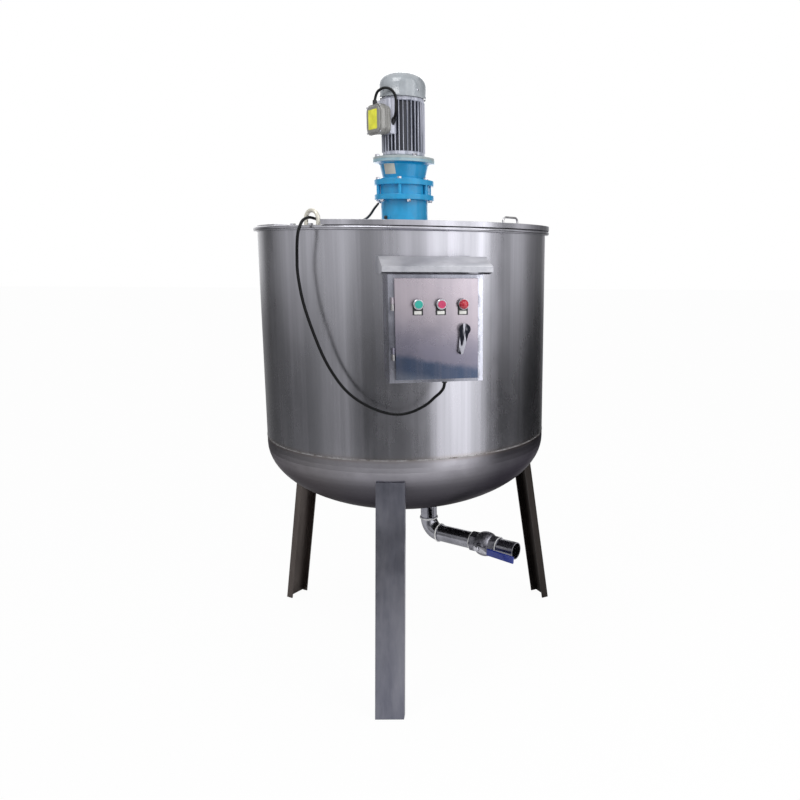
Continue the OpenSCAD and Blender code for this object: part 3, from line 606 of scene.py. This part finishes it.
class Recipe:
    """A Geometry Nodes tree with named inputs. grow() runs it and gives a plain mesh."""

    KINDS = {"Part": "Object", "Count": "Int", "Finish": "Material"}

    def __init__(self, name, inputs, takes_mesh=False):
        self.tree = bpy.data.node_groups.new(name, "GeometryNodeTree")
        self.ids = {}
        if takes_mesh:
            self.tree.interface.new_socket("Geometry", in_out="INPUT", socket_type="NodeSocketGeometry")
        for label in [*inputs, "Finish"]:
            socket = self.tree.interface.new_socket(
                label, in_out="INPUT", socket_type="NodeSocket" + self.KINDS.get(label, "Float"))
            self.ids[label] = socket.identifier
        self.tree.interface.new_socket("Geometry", in_out="OUTPUT", socket_type="NodeSocketGeometry")
        self.given = self.tree.nodes.new("NodeGroupInput")

    def node(self, kind, settings=None, sockets=None, output=0):
        made = self.tree.nodes.new(kind)
        for name, value in (settings or {}).items():
            setattr(made, name, value)
        for key, value in (sockets or {}).items():
            if isinstance(value, bpy.types.NodeSocket):
                self.tree.links.new(value, made.inputs[key])
            else:
                made.inputs[key].default_value = value
        return made.outputs[output]

    def maths(self, operation, first, second=0.0):
        return self.node("ShaderNodeMath", {"operation": operation}, {0: first, 1: second})

    def end(self, geometry):
        solid = self.node("GeometryNodeRealizeInstances", sockets={0: geometry})
        coated = self.node("GeometryNodeSetMaterial", sockets={"Geometry": solid, "Material": self.given.outputs["Finish"]})
        self.tree.links.new(coated, self.tree.nodes.new("NodeGroupOutput").inputs[0])

    def grow(self, name, mesh=None, **sizes):
        holder = plain_object(name, mesh or bpy.data.meshes.new(name))
        recipe = holder.modifiers.new("recipe", "NODES")
        recipe.node_group = self.tree
        for label, value in sizes.items():
            recipe[self.ids[label]] = value
        grown = plain_mesh(holder)
        holder.modifiers.remove(recipe)
        holder.data = grown
        return holder


def ring_recipe():
    """Copies of a part on a circle about Z, each turned to face outwards."""
    r = Recipe("parts_on_a_ring", ["Part", "Count", "Radius", "Start"])
    step = r.maths("DIVIDE", math.tau, r.given.outputs["Count"])
    index = r.node("GeometryNodeInputIndex")
    angle = r.maths("ADD", r.maths("MULTIPLY", index, step), r.given.outputs["Start"])
    place = r.node("ShaderNodeCombineXYZ", sockets={
        0: r.maths("MULTIPLY", r.maths("COSINE", angle), r.given.outputs["Radius"]),
        1: r.maths("MULTIPLY", r.maths("SINE", angle), r.given.outputs["Radius"])})
    turn = r.node("FunctionNodeEulerToRotation", sockets={0: r.node("ShaderNodeCombineXYZ", sockets={2: angle})})
    points = r.node("GeometryNodePoints", sockets={"Count": r.given.outputs["Count"], "Position": place})
    part = r.node("GeometryNodeObjectInfo", sockets={0: r.given.outputs["Part"]}, output="Geometry")
    r.end(r.node("GeometryNodeInstanceOnPoints", sockets={"Points": points, "Instance": part, "Rotation": turn}))
    return r


def places_recipe():
    """Copies of a part on the holder's own points, each turned by that point's turn attribute."""
    r = Recipe("parts_at_places", ["Part"], takes_mesh=True)
    points = r.node("GeometryNodeMeshToPoints", sockets={"Mesh": r.given.outputs["Geometry"]})
    turn = r.node("GeometryNodeInputNamedAttribute", {"data_type": "FLOAT_VECTOR"}, {"Name": "turn"})
    part = r.node("GeometryNodeObjectInfo", sockets={0: r.given.outputs["Part"]}, output="Geometry")
    r.end(r.node("GeometryNodeInstanceOnPoints", sockets={
        "Points": points, "Instance": part,
        "Rotation": r.node("FunctionNodeEulerToRotation", sockets={0: turn})}))
    return r


ON_RING = ring_recipe()
AT_PLACES = places_recipe()


def on_ring(name, part, count, radius, body, slot, start=0.0, place=FLAT, finish=None):
    """A ring of equal parts, as one piece."""
    source = plain_object(name + "_part", part)
    piece = ON_RING.grow(name, Part=source, Count=count, Radius=radius,
                         Start=math.radians(start), Finish=finish or FINISHES[slot])
    bpy.data.objects.remove(source)
    piece.data.transform(place)
    return settle(piece, body, slot, finish)


def at_places(name, part, places, body, slot, finish=None):
    """Equal parts at matrices in the row frame, as one piece."""
    source = plain_object(name + "_part", part)
    points = mesh_of(name, [m.to_translation() for m in places], [])
    turns = points.attributes.new("turn", "FLOAT_VECTOR", "POINT")
    for value, matrix in zip(turns.data, places):
        value.vector = matrix.to_euler("XYZ")
    piece = AT_PLACES.grow(name, mesh=points, Part=source, Finish=finish or FINISHES[slot])
    bpy.data.objects.remove(source)
    return settle(piece, body, slot, finish)


def hex_bolt(across, head, washer=True):
    """Hexagon head with its chamfer, on a washer, standing on Z 0."""
    r = across / math.sqrt(3)
    lift = 0.0018 if washer else 0.0
    parts = [turned("head", [(0, lift), (r, lift), (r, lift + head * 0.8), (r * 0.84, lift + head), (0, lift + head)], 6)]
    if washer:
        parts.append(turned("washer", [(0, 0), (r * 1.12, 0), (r * 1.12, lift), (0, lift)], 20))
    return together("hex_bolt", *parts)


def pan_screw(across, head):
    """Low domed screw head with a round recess, standing on Z 0."""
    r = across / 2
    dome = [(0, 0), (r, 0), (r, head * 0.35)]
    dome += [(r * math.cos(math.radians(a)), head * (0.35 + 0.65 * math.sin(math.radians(a)))) for a in (30, 60)]
    dome += [(r * 0.34, head), (r * 0.26, head * 0.45), (0, head * 0.45)]
    return turned("pan_screw", dome, 16)


# Cables, along the routes that the part's source gives
CABLE_D = 0.009
CABLE_ROUTE = [
    (-0.0801, 0.0036, 1.9045), (-0.0846, 0.0108, 1.896), (-0.087, 0.023, 1.881), (-0.080, 0.034, 1.865),
    (-0.071, 0.045, 1.848), (-0.064, 0.060, 1.828), (-0.059, 0.082, 1.796), (-0.058, 0.101, 1.762),
    (-0.064, 0.102, 1.700), (-0.080, 0.084, 1.650), (-0.092, 0.056, 1.620), (-0.105, 0.016, 1.599),
    (-0.128, -0.048, 1.563), (-0.170, -0.165, 1.536), (-0.214, -0.290, 1.530), (-0.240, -0.348, 1.534),
    (-0.263, -0.386, 1.541), (-0.282, -0.413, 1.545), (-0.297, -0.433, 1.537), (-0.306, -0.444, 1.519),
    (-0.314, -0.446, 1.490), (-0.319, -0.438, 1.430), (-0.318, -0.438, 1.370), (-0.300, -0.449, 1.274),
    (-0.252, -0.478, 1.142), (-0.204, -0.500, 1.060), (-0.158, -0.517, 1.014), (-0.100, -0.532, 0.982),
    (-0.042, -0.543, 0.967), (0.008, -0.554, 0.974), (0.054, -0.564, 0.998), (0.080, -0.569, 1.0215),
    (0.0968, -0.571, 1.0365), (0.1065, -0.571, 1.0505), (0.110, -0.571, 1.066)]
LOOP_ROUTE = [
    (-0.0933, -0.0583, 1.937), (-0.0933, -0.0583, 1.949), (-0.0851, -0.0617, 1.9735), (-0.0673, -0.0692, 1.9858),
    (-0.0462, -0.078, 1.9848), (-0.0294, -0.085, 1.9708), (-0.0231, -0.0876, 1.949), (-0.0231, -0.0876, 1.9193),
    (-0.0244, -0.0855, 1.9049), (-0.0313, -0.0744, 1.8854)]


def eased(route, steps):
    """The route's points with more between them, on a smooth curve through them."""
    points = [Vector(p) for p in route]
    line = []
    for i in range(len(points) - 1):
        a, b, c, e = points[max(i - 1, 0)], points[i], points[i + 1], points[min(i + 2, len(points) - 1)]
        for s in (j / steps for j in range(steps)):
            line.append(0.5 * (2 * b + (c - a) * s + (2 * a - 5 * b + 4 * c - e) * s ** 2
                               + (3 * b - a - 3 * c + e) * s ** 3))
    return line + [points[-1]]


def cable(name, route):
    line = eased(route, 5)
    curve = bpy.data.curves.new(name, "CURVE")
    curve.dimensions = "3D"
    curve.bevel_depth = CABLE_D / 2
    curve.bevel_resolution = 3
    curve.use_fill_caps = True
    spline = curve.splines.new("POLY")
    spline.points.add(len(line) - 1)
    for point, place in zip(spline.points, line):
        point.co = (*place, 1)
    spline.use_smooth = True
    piece = plain_object(name, curve)
    curve.materials.append(FINISHES["cable_black"])
    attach(piece, "tank")
    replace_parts(piece, name.replace("_line", ""))
    length = sum((b - a).length for a, b in zip(line, line[1:]))
    return piece


cable("motor_cable_line", CABLE_ROUTE)
cable("terminal_loop_line", LOOP_ROUTE)


# Tank: rim, shell, spun bottom, legs and their welds
def finish_node(node, finish=None):
    """A CAD node that keeps its own shape gets its finish."""
    for slot in NODES[node].material_slots:
        slot.material = finish or FINISHES[SLOT_OF[node]]
    if not NODES[node].material_slots:
        NODES[node].data.materials.append(finish or FINISHES[SLOT_OF[node]])


finish_node("cable_guide", filmed("guide_bar", tone(236, 233, 220), tone(204, 200, 188), 0.35))
for node in ("shell", "dished_bottom", "lid_handle", "agitator_shaft",
             "drain_elbow", "drain_pipe", "drain_nipple"):
    finish_node(node)
softened("leg_front", 0.0014)
# The side legs are copies of one steel, the left one painted lighter and the right one darker: painted shade.
for node, shade in (("leg_left", 0.72), ("leg_right", 0.45)):
    softened(node, 0.0014, steel(node + "_sheet", tone(150 * shade, 140 * shade, 136 * shade),
                                 tone(104 * shade, 94 * shade, 90 * shade), 0.4, (12, 12, 1.6)))

WELD = cast_steel("weld_bead", tone(178, 177, 180), tone(118, 112, 110), 0.34, 0.2)
WELD_STEP = 0.0068


def bead(name, radius, height, half_width, proud, body, slot, place=FLAT, finish=WELD):
    """Rippled weld round an axis: overlapping flat drops, one for each dip of the rod."""
    drop = turned("drop", [(0, -1), (0.7, -0.7), (1, 0), (0.7, 0.7), (0, 1)], 8)
    drop.transform(Matrix.Diagonal((proud, WELD_STEP * 0.8, half_width, 1)))
    count = round(math.tau * radius / WELD_STEP)
    return on_ring(name, drop, count, radius, body, slot, 0.0, place @ Matrix.Translation((0, 0, height)), finish)


bead("seam_weld", TANK_R - 0.0004, SEAM_Z, 0.0032, 0.0013, "tank", "tank_steel")
bead("drain_socket_weld", 0.0312, 0.0, 0.0035, 0.0022, "tank", "pipe_steel",
     Matrix.Translation((0.072, -0.080, 0.541)))

# Bridge, covers and lid
softened("bridge_plate", 0.0012)
softened("bridge_webs", 0.0008)
softened("fixed_cover", 0.0006)
softened("lid_panel", 0.0020, segments=3)
softened("lid_hinge_leaves", 0.0005)
softened("lid_hinge_knuckles", 0.0005)
at_places("bridge_bolts", hex_bolt(0.017, 0.0075),
          [BRIDGE @ Matrix.Translation((x, y, BRIDGE_TOP)) for x in (-0.438, 0.438) for y in (-0.076, 0.004)],
          "tank", "bright_metal")
at_places("lid_hinge_screws", pan_screw(0.0085, 0.0024),
          [BRIDGE @ Matrix.Translation((side * 0.300 + dx, 0.085, BRIDGE_TOP + 0.003))
           for side in (-1, 1) for dx in (-0.034, -0.012, 0.012, 0.034)],
          "tank", "bright_metal")
at_places("fixed_cover_screws", pan_screw(0.010, 0.003),
          [BRIDGE @ Matrix.Translation((r * math.cos(a), r * math.sin(a), COVER_TOP))
           for r, a in ((0.478, math.radians(d)) for d in (-22, -48, -74, -106, -132, -158))],
          "tank", "bright_metal")
for foot in (-0.0405, 0.0405):
    bead("handle_weld_%s" % ("low" if foot < 0 else "high"), 0.0042, 0.0, 0.0016, 0.0016, "lid", "bar_steel",
         BRIDGE @ Matrix.Translation((foot, 0.455, 1.5396)))
for foot in (-0.0265, 0.0265):
    bead("guide_weld_%s" % ("low" if foot < 0 else "high"), 0.0072, 0.0, 0.0018, 0.0018, "tank", "bar_steel",
         BRIDGE @ Matrix.Translation((0.478, 0.059 + foot, BRIDGE_TOP + 0.0004)))

# Drive: foot, housing, pin ring and input housing
FOOT_TOP = 1.536
HOUSING_TOP = 1.625
RING_TOP = 1.693
INPUT_TOP = 1.760
MOTOR_LOW, MOTOR_HIGH = 1.775, 1.964
softened("gearbox_foot", 0.0016)
softened("gearbox_housing", 0.0018)
softened("pin_ring", 0.0014)
softened("input_housing", 0.0010, banded_blue())
softened("motor_flange", 0.0010)
on_ring("foot_bolts", hex_bolt(0.013, 0.0065), 6, 0.0907, "tank", "bright_metal",
        place=Matrix.Translation((0, 0, FOOT_TOP)))
on_ring("ring_bolts", hex_bolt(0.013, 0.0058), 6, 0.0955, "tank", "bright_metal", 21.0,
        Matrix.Translation((0, 0, RING_TOP)))
on_ring("ring_nuts", hex_bolt(0.013, 0.0065), 6, 0.0955, "tank", "bright_metal", 21.0,
        Matrix.Translation((0, 0, HOUSING_TOP)) @ Matrix.Rotation(math.pi, 4, "X"))
on_ring("flange_bolts", hex_bolt(0.015, 0.0068), 4, 0.0965, "tank", "bright_metal", 22.0,
        Matrix.Translation((0, 0, INPUT_TOP + 0.0082)))
BOSS = Matrix.Rotation(math.radians(223), 4, "Z") @ Matrix.Translation((0.0865, 0, 1.564)) @ Matrix.Rotation(math.pi / 2, 4, "Y")
added("oil_plug", turned("oil_plug", [(0, -0.010), (0.0058, -0.010), (0.0058, 0.0), (0.0078, 0.0), (0.0078, 0.0016),
                                      (0.0062, 0.0024), (0.0062, 0.0060), (0.0052, 0.0068), (0, 0.0068)], 6, BOSS),
      "tank", "gland_black")

PLATE_SILVER = filmed("blank_plate", tone(216, 214, 202), tone(182, 180, 170), 0.3)
CONE_PLATE = (Matrix.Rotation(math.radians(-128), 4, "Z") @ Matrix.Translation((0.0808, 0, 1.7275))
              @ Matrix.Rotation(math.radians(13.7), 4, "Y") @ Matrix.Rotation(math.pi / 2, 4, "Y"))


def wrapped(mesh, radius):
    """Bends a flat plate lying in X and Y round an axis along X, so that it hugs a round body."""
    for v in mesh.vertices:
        a = v.co.y / radius
        reach = radius + v.co.z
        v.co.y, v.co.z = reach * math.sin(a), reach * math.cos(a) - radius
    return mesh


def gridded(name, width, height, thick, across, along):
    """Thin flat plate with enough faces to bend."""
    work = bmesh.new()
    bmesh.ops.create_grid(work, x_segments=across, y_segments=along, size=0.5)
    for v in work.verts:
        v.co = Vector((v.co.x * width, v.co.y * height, 0.0))
    raised = bmesh.ops.extrude_face_region(work, geom=list(work.faces))
    for v in (g for g in raised["geom"] if isinstance(g, bmesh.types.BMVert)):
        v.co.z += thick
    bmesh.ops.recalc_face_normals(work, faces=work.faces)
    return written(name, work)


name_plate = wrapped(gridded("blank_name_plate", 0.036, 0.046, 0.0007, 4, 12), 0.0795)
name_plate.transform(CONE_PLATE)
added("blank_name_plate", name_plate, "tank", "gearbox_blue", PLATE_SILVER)


# Motor: finned housing, fan cover, terminal box
FIN_N = 32
FIN_R = 0.075
CORE_R = 0.063


def motor_fin(low, high):
    """One cast fin, thick at its root and rounded at its tip, standing along X."""
    root, tip = 0.0018, 0.0010
    outline = [(CORE_R - 0.003, -root), (FIN_R - 0.0018, -tip - 0.0002), (FIN_R - 0.0006, -tip * 0.8), (FIN_R, -tip * 0.3),
               (FIN_R, tip * 0.3), (FIN_R - 0.0006, tip * 0.8), (FIN_R - 0.0018, tip + 0.0002), (CORE_R - 0.003, root)]
    return plate("motor_fin", outline, low, high)


def motor_housing():
    shield = 0.012
    core = turned("core", [
        (0, MOTOR_LOW), (FIN_R - 0.0024, MOTOR_LOW), (FIN_R - 0.001, MOTOR_LOW + 0.0016),
        (FIN_R - 0.001, MOTOR_LOW + shield - 0.002), (FIN_R - 0.003, MOTOR_LOW + shield),
        (CORE_R, MOTOR_LOW + shield + 0.003), (CORE_R, MOTOR_HIGH - shield - 0.003),
        (FIN_R - 0.003, MOTOR_HIGH - shield), (FIN_R - 0.001, MOTOR_HIGH - shield + 0.002),
        (FIN_R - 0.001, MOTOR_HIGH), (0, MOTOR_HIGH)], 96)
    pad = block("pad", (0.040, -0.042, 1.841), (0.078, 0.042, 1.957), TERMINAL, 0.003)
    added("motor_core", together("motor_core", core, pad), "tank", "motor_grey")
    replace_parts(bpy.data.objects["motor_core"], "motor_body")
    on_ring("motor_fins", motor_fin(MOTOR_LOW + 0.010, MOTOR_HIGH - 0.010), FIN_N, 0.0, "tank", "motor_grey")


def fan_cover():
    low, high, r = 1.964, 2.046, 0.0825
    crown, flat = 0.041, 0.038
    profile = [(0, low + 0.004), (r - 0.003, low + 0.004), (r - 0.003, low), (r - 0.0002, low), (r, low + 0.0015),
               (r, low + 0.006), (r - 0.0012, low + 0.0085), (r - 0.0012, high - crown)]
    for a in range(10, 91, 8):
        c, s = math.cos(math.radians(a)), math.sin(math.radians(a))
        profile.append((flat + (r - 0.0012 - flat) * c, high - crown + crown * s))
    mouth = 0.0315
    profile += [(mouth + 0.0015, high), (mouth, high - 0.001), (mouth, high - 0.006), (0, high - 0.006)]
    piece = added("fan_cover_shell", turned("fan_cover_shell", profile, 96), "tank", "fan_grey")
    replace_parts(piece, "fan_cover")
    rings = [hoop("wire", radius, 0.0011, 48, 6, Matrix.Translation((0, 0, high - 0.0013)))
             for radius in (0.008, 0.0155, 0.023, 0.030)]
    added("fan_guard_rings", together("fan_guard_rings", *rings), "tank", "fan_grey")
    rib = block("rib", (0.004, -0.0013, high - 0.0036), (0.0325, 0.0013, high - 0.0018), FLAT, 0.0004)
    on_ring("fan_guard_ribs", rib, 6, 0.0, "tank", "fan_grey")
    side = Matrix.Translation((0.0812, 0, low + 0.022)) @ Matrix.Rotation(math.pi / 2, 4, "Y")
    screw = pan_screw(0.008, 0.0026)
    screw.transform(side)
    on_ring("fan_cover_screws", screw, 4, 0.0, "tank", "bright_metal", 38.0)


motor_housing()
fan_cover()

LABEL_YELLOW = plastic("blank_label", tone(240, 238, 64), 0.4, 0.04)


def terminal_box():
    upright = TERMINAL @ Matrix.Translation((0, 0, 1.886)) @ Matrix.Rotation(math.pi / 2, 4, "Y")
    body = plate("body", rounded_outline(0.092, 0.092, 0.020), 0.0765, 0.0890, upright, 0.002)
    cover = plate("cover", rounded_outline(0.100, 0.100, 0.024), 0.0882, 0.1162, upright, 0.0036, 4)
    raised = plate("raised", rounded_outline(0.087, 0.087, 0.019), 0.1140, 0.1202, upright, 0.0030, 4)
    piece = added("terminal_box_casting", together("terminal_box_casting", body, cover, raised), "tank", "motor_grey",
                  TERMINAL_GREY)
    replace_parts(piece, "terminal_box")
    seam = plate("seam", rounded_outline(0.1001, 0.1001, 0.0241), 0.0990, 0.0998, upright)
    added("terminal_box_seal", seam, "tank", "gland_black")
    corners = [upright @ Matrix.Translation((x, y, 0.1160)) for x in (-0.0415, 0.0415) for y in (-0.0415, 0.0415)]
    at_places("terminal_box_screws", pan_screw(0.0075, 0.0028), corners, "tank", "bright_metal")
    label = plate("label", rounded_outline(0.064, 0.057, 0.004), 0.1199, 0.1208, upright, 0.0003)
    added("blank_box_label", label, "tank", "motor_grey", LABEL_YELLOW)


TERMINAL_GREY = paint("terminal_box_enamel", tone(140, 139, 136), tone(190, 190, 180), 0.22, 0.08, 0.7)
terminal_box()
softened("terminal_gland", 0.0005)

# Agitator inside the tank
softened("agitator_paddles", 0.0010)

# Control box, its hood, door and fittings
softened("control_box", 0.0012, cabinet_sheet())
softened("box_hood", 0.0008, filmed("hood_sheet", tone(196, 196, 202), tone(150, 152, 160)))
softened("box_brackets", 0.0006)
softened("box_hinge_leaves", 0.0004)
softened("box_door", 0.0018, door_film_and_painted_reflection(), segments=3)
softened("legend_plates", 0.0005)
softened("button_collars", 0.0005)
softened("button_green", 0.0012)
softened("button_red", 0.0012)
softened("door_lever", 0.0022, chrome(), segments=3)
softened("box_gland", 0.0006)
finish_node("pilot_lamp")

ROW_Z = 1.304
BUTTON_XS = (-0.0543, 0.0105)
LAMP_X = 0.0736
DOOR_FRONT = 0.659
INSERT_WHITE = plastic("insert_white", tone(236, 236, 232), 0.4, 0.03)


def facing(x, out, z):
    """Frame whose Z points out of the control box's front."""
    return Matrix.Translation(out_of_box(x, out, z)) @ CABINET @ Matrix.Rotation(math.pi / 2, 4, "X")


inserts = [plate("insert", rounded_outline(0.0205, 0.0095, 0.0012), -0.0004, 0.0007,
                 facing(x, DOOR_FRONT + 0.002, ROW_Z - 0.0240), 0.0003) for x in (*BUTTON_XS, LAMP_X)]
added("label_inserts", together("label_inserts", *inserts), "box_door", "label_black", INSERT_WHITE)
rims = [hoop("rim", 0.0139, 0.0016, 56, 8, facing(LAMP_X, DOOR_FRONT + 0.0155, ROW_Z))]
added("lamp_bezel", together("lamp_bezel", *rims), "box_door", "bright_metal")

# Drain: gaskets, ball valve and its lever
softened("drain_stub", 0.0008)
softened("valve_body", 0.0014)
GASKET = plastic("white_gasket", tone(240, 240, 240), 0.45, 0.05)


def along_drain(distance):
    return DRAIN @ Matrix.Translation((distance, 0, 0)) @ Matrix.Rotation(math.pi / 2, 4, "Y")


for name, place in (("gasket_elbow_top", Matrix.Translation((0.072, -0.080, 0.4775))),
                    ("gasket_elbow_end", along_drain(0.0515)),
                    ("gasket_valve_in", along_drain(0.1995)),
                    ("gasket_valve_out", along_drain(0.3105))):
    wide = 0.0036 if name == "gasket_elbow_end" else 0.0028
    added(name, hoop(name, 0.0312, wide, 64, 10, place), "tank", "pipe_steel", GASKET)

LEVER = (DRAIN @ Matrix.Translation((0.255, 0, 0)) @ Matrix.Rotation(math.pi / 2, 4, "X")
         @ Matrix.Rotation(math.radians(-4), 4, "Z"))


def valve_lever():
    stem = turned("stem", [(0, 0.0313), (0.007, 0.0313), (0.007, 0.0600), (0.0058, 0.0640), (0, 0.0640)], 32, LEVER)
    arm = plate("arm", rounded_outline(0.068, 0.022, 0.006), 0.0540, 0.0578,
                LEVER @ Matrix.Translation((0.020, 0, 0)), 0.0008)
    nut = turned("nut", [(0, 0.0578), (0.0098, 0.0578), (0.0098, 0.0612), (0.0086, 0.0625), (0, 0.0625)], 6, LEVER)
    piece = added("valve_arm", together("valve_arm", stem, arm, nut), "valve_handle", "bright_metal")
    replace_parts(piece, "valve_lever")
    side = LEVER @ Matrix.Translation((0.042, 0, 0.056)) @ Matrix.Rotation(math.pi / 2, 4, "Y") @ Matrix.Rotation(math.pi / 2, 4, "Z")
    sleeve = plate("sleeve", rounded_outline(0.026, 0.0078, 0.0038), 0.0, 0.1090, side, 0.0018, 3)
    added("valve_sleeve", sleeve, "valve_handle", "handle_blue")


valve_lever()


# Studio: floor, bright world, a soft wall that only polished metal sees, and lamps
def rays_of_view(f):
    """1 for what the camera sees directly or in a mirror, else 0."""
    path = f.node("LightPath")
    seen = [Wire(f, path.outputs[n]) for n in ("Is Camera Ray", "Is Glossy Ray", "Is Transmission Ray")]
    return f.wire("Math", {"operation": "MINIMUM"}, {0: seen[0] + seen[1] + seen[2], 1: 1.0})


WORLD_LIGHT = 0.62


def make_world():
    world = bpy.data.worlds.new("studio")
    world.use_nodes = True
    bpy.context.scene.world = world
    f = Finish("studio", world.node_tree)
    strength = WORLD_LIGHT + rays_of_view(f) * (1.0 - WORLD_LIGHT)
    glow = f.wire("Background", sockets={"Color": (1, 1, 1, 1), "Strength": strength})
    f.node("OutputWorld", sockets={0: glow})


def make_floor():
    f = Finish("studio_floor")
    matt = f.wire("BsdfDiffuse", sockets={"Color": (0.94, 0.94, 0.94, 1)})
    glow = f.wire("Emission", sockets={"Color": (1, 1, 1, 1), "Strength": 1.0})
    x, y, z = f.axes()
    radius = f.wire("Math", {"operation": "SQRT"}, {0: x * x + y * y})
    # For mirror rays the floor's glow is painted down near the tank, painted shade that lets the matt floor's real
    # shadow show in reflections, and dimmed again beyond 1.7 m; the camera sees the floor nearly evenly white.
    mirror_glow_with_painted_shade = f.levels(radius, 0.5, 1.9, 0.12, 0.93)
    mirror_glow_with_painted_shade = mirror_glow_with_painted_shade * f.levels(radius, 1.7, 2.6, 1.0, 0.45)
    direct = Wire(f, f.node("LightPath").outputs["Is Camera Ray"])
    shown = f.wire("MixShader", sockets={0: direct * 0.96 + (rays_of_view(f) - direct) * mirror_glow_with_painted_shade, 1: matt, 2: glow})
    f.node("OutputMaterial", sockets={0: shown})
    floor = plain_object("studio_floor", mesh_of("studio_floor", [
        (-30, -30, 0), (30, -30, 0), (30, 30, 0), (-30, 30, 0)], [(0, 1, 2, 3)]))
    floor.data.materials.append(f.material)


# Direction round the tank in degrees, and how bright the wall is there
WALL_LIGHT = [(-180, 0.21), (-170, 0.24), (-158, 0.30), (-150, 0.52), (-142, 0.40), (-136, 0.50), (-132, 0.64),
              (-127, 0.30), (-120, 0.17), (-106, 0.22), (-92, 0.30), (-78, 0.42), (-72, 0.90), (-67, 1.95),
              (-47, 2.25), (-36, 1.55), (-28, 0.17), (-17, 0.11), (-6, 0.32), (2, 0.38), (9, 0.14), (24, 0.05),
              (46, 0.06), (60, 0.30), (74, 0.85), (90, 1.0), (108, 0.85), (124, 0.36), (140, 0.17), (154, 0.05),
              (167, 0.18), (180, 0.21)]
WALL_R = 2.5
WALL_H = 4.5


def make_wall():
    f = Finish("soft_wall")
    x, y, z = f.axes()
    angle = f.wire("Math", {"operation": "ARCTAN2"}, {0: y, 1: x})
    round_share = angle / math.tau + 0.5
    shade = f.ramp(round_share, [((d + 180) / 360, b / 3) for d, b in WALL_LIGHT])

    def sector(start, end):
        """1 between two directions, 0 beyond them."""
        return f.levels(round_share, (start + 174) / 360, (start + 186) / 360) * f.levels(
            round_share, (end + 174) / 360, (end + 186) / 360, 1.0, 0.0)

    high = f.levels(z, 0.95, 1.45) * (1.7 - sector(-152, -132) * 1.2 + sector(-98, -86) * 0.7
                                      - sector(-84, -70) * 0.9 - sector(-68, -36) * 1.95 + sector(-34, -22)
                                      - sector(146, 164) * 1.2)
    low = f.levels(z, 0.52, 1.02, 1.0, 0.0)
    height = f.levels(z, 0.0, 1.7, 0.72, 1.12) * (1.0 + high)
    shadow = 1.0 - low * (sector(-122, -74) * 0.46 + sector(-31, 40) * 0.62 - sector(146, 164) * 0.8)
    glow = f.wire("Emission", sockets={"Color": shade, "Strength": height * shadow * 3.0})
    f.node("OutputMaterial", sockets={0: glow})
    sides = 96
    ring = [(WALL_R * math.cos(math.tau * i / sides), WALL_R * math.sin(math.tau * i / sides)) for i in range(sides)]
    points = [(px, py, h) for h in (0.001, WALL_H) for px, py in ring]
    faces = [(i, (i + 1) % sides, sides + (i + 1) % sides, sides + i) for i in range(sides)]
    wall = plain_object("soft_wall", mesh_of("soft_wall", points, faces))
    wall.data.materials.append(f.material)
    for kind in ("camera", "diffuse", "transmission", "volume_scatter", "shadow"):
        setattr(wall, "visible_" + kind, False)


def lamp(name, place, aim, size, power, glossy=False):
    data = bpy.data.lights.new(name, "AREA")
    data.shape = "RECTANGLE"
    data.size, data.size_y = size
    data.energy = power
    light = bpy.data.objects.new(name, data)
    bpy.context.scene.collection.objects.link(light)
    light.location = place
    light.rotation_euler = (Vector(aim) - Vector(place)).to_track_quat("-Z", "Y").to_euler()
    light.visible_camera = False
    light.visible_glossy = glossy


bpy.context.scene.view_settings.view_transform = "Standard"
make_world()
make_floor()
make_wall()
lamp("window_side", (2.1, -2.3, 2.2), (0, 0, 1.2), (1.6, 2.2), 42)
lamp("over_drive", (-1.0, -1.4, 3.4), (0, 0, 1.6), (1.2, 1.2), 22, True)
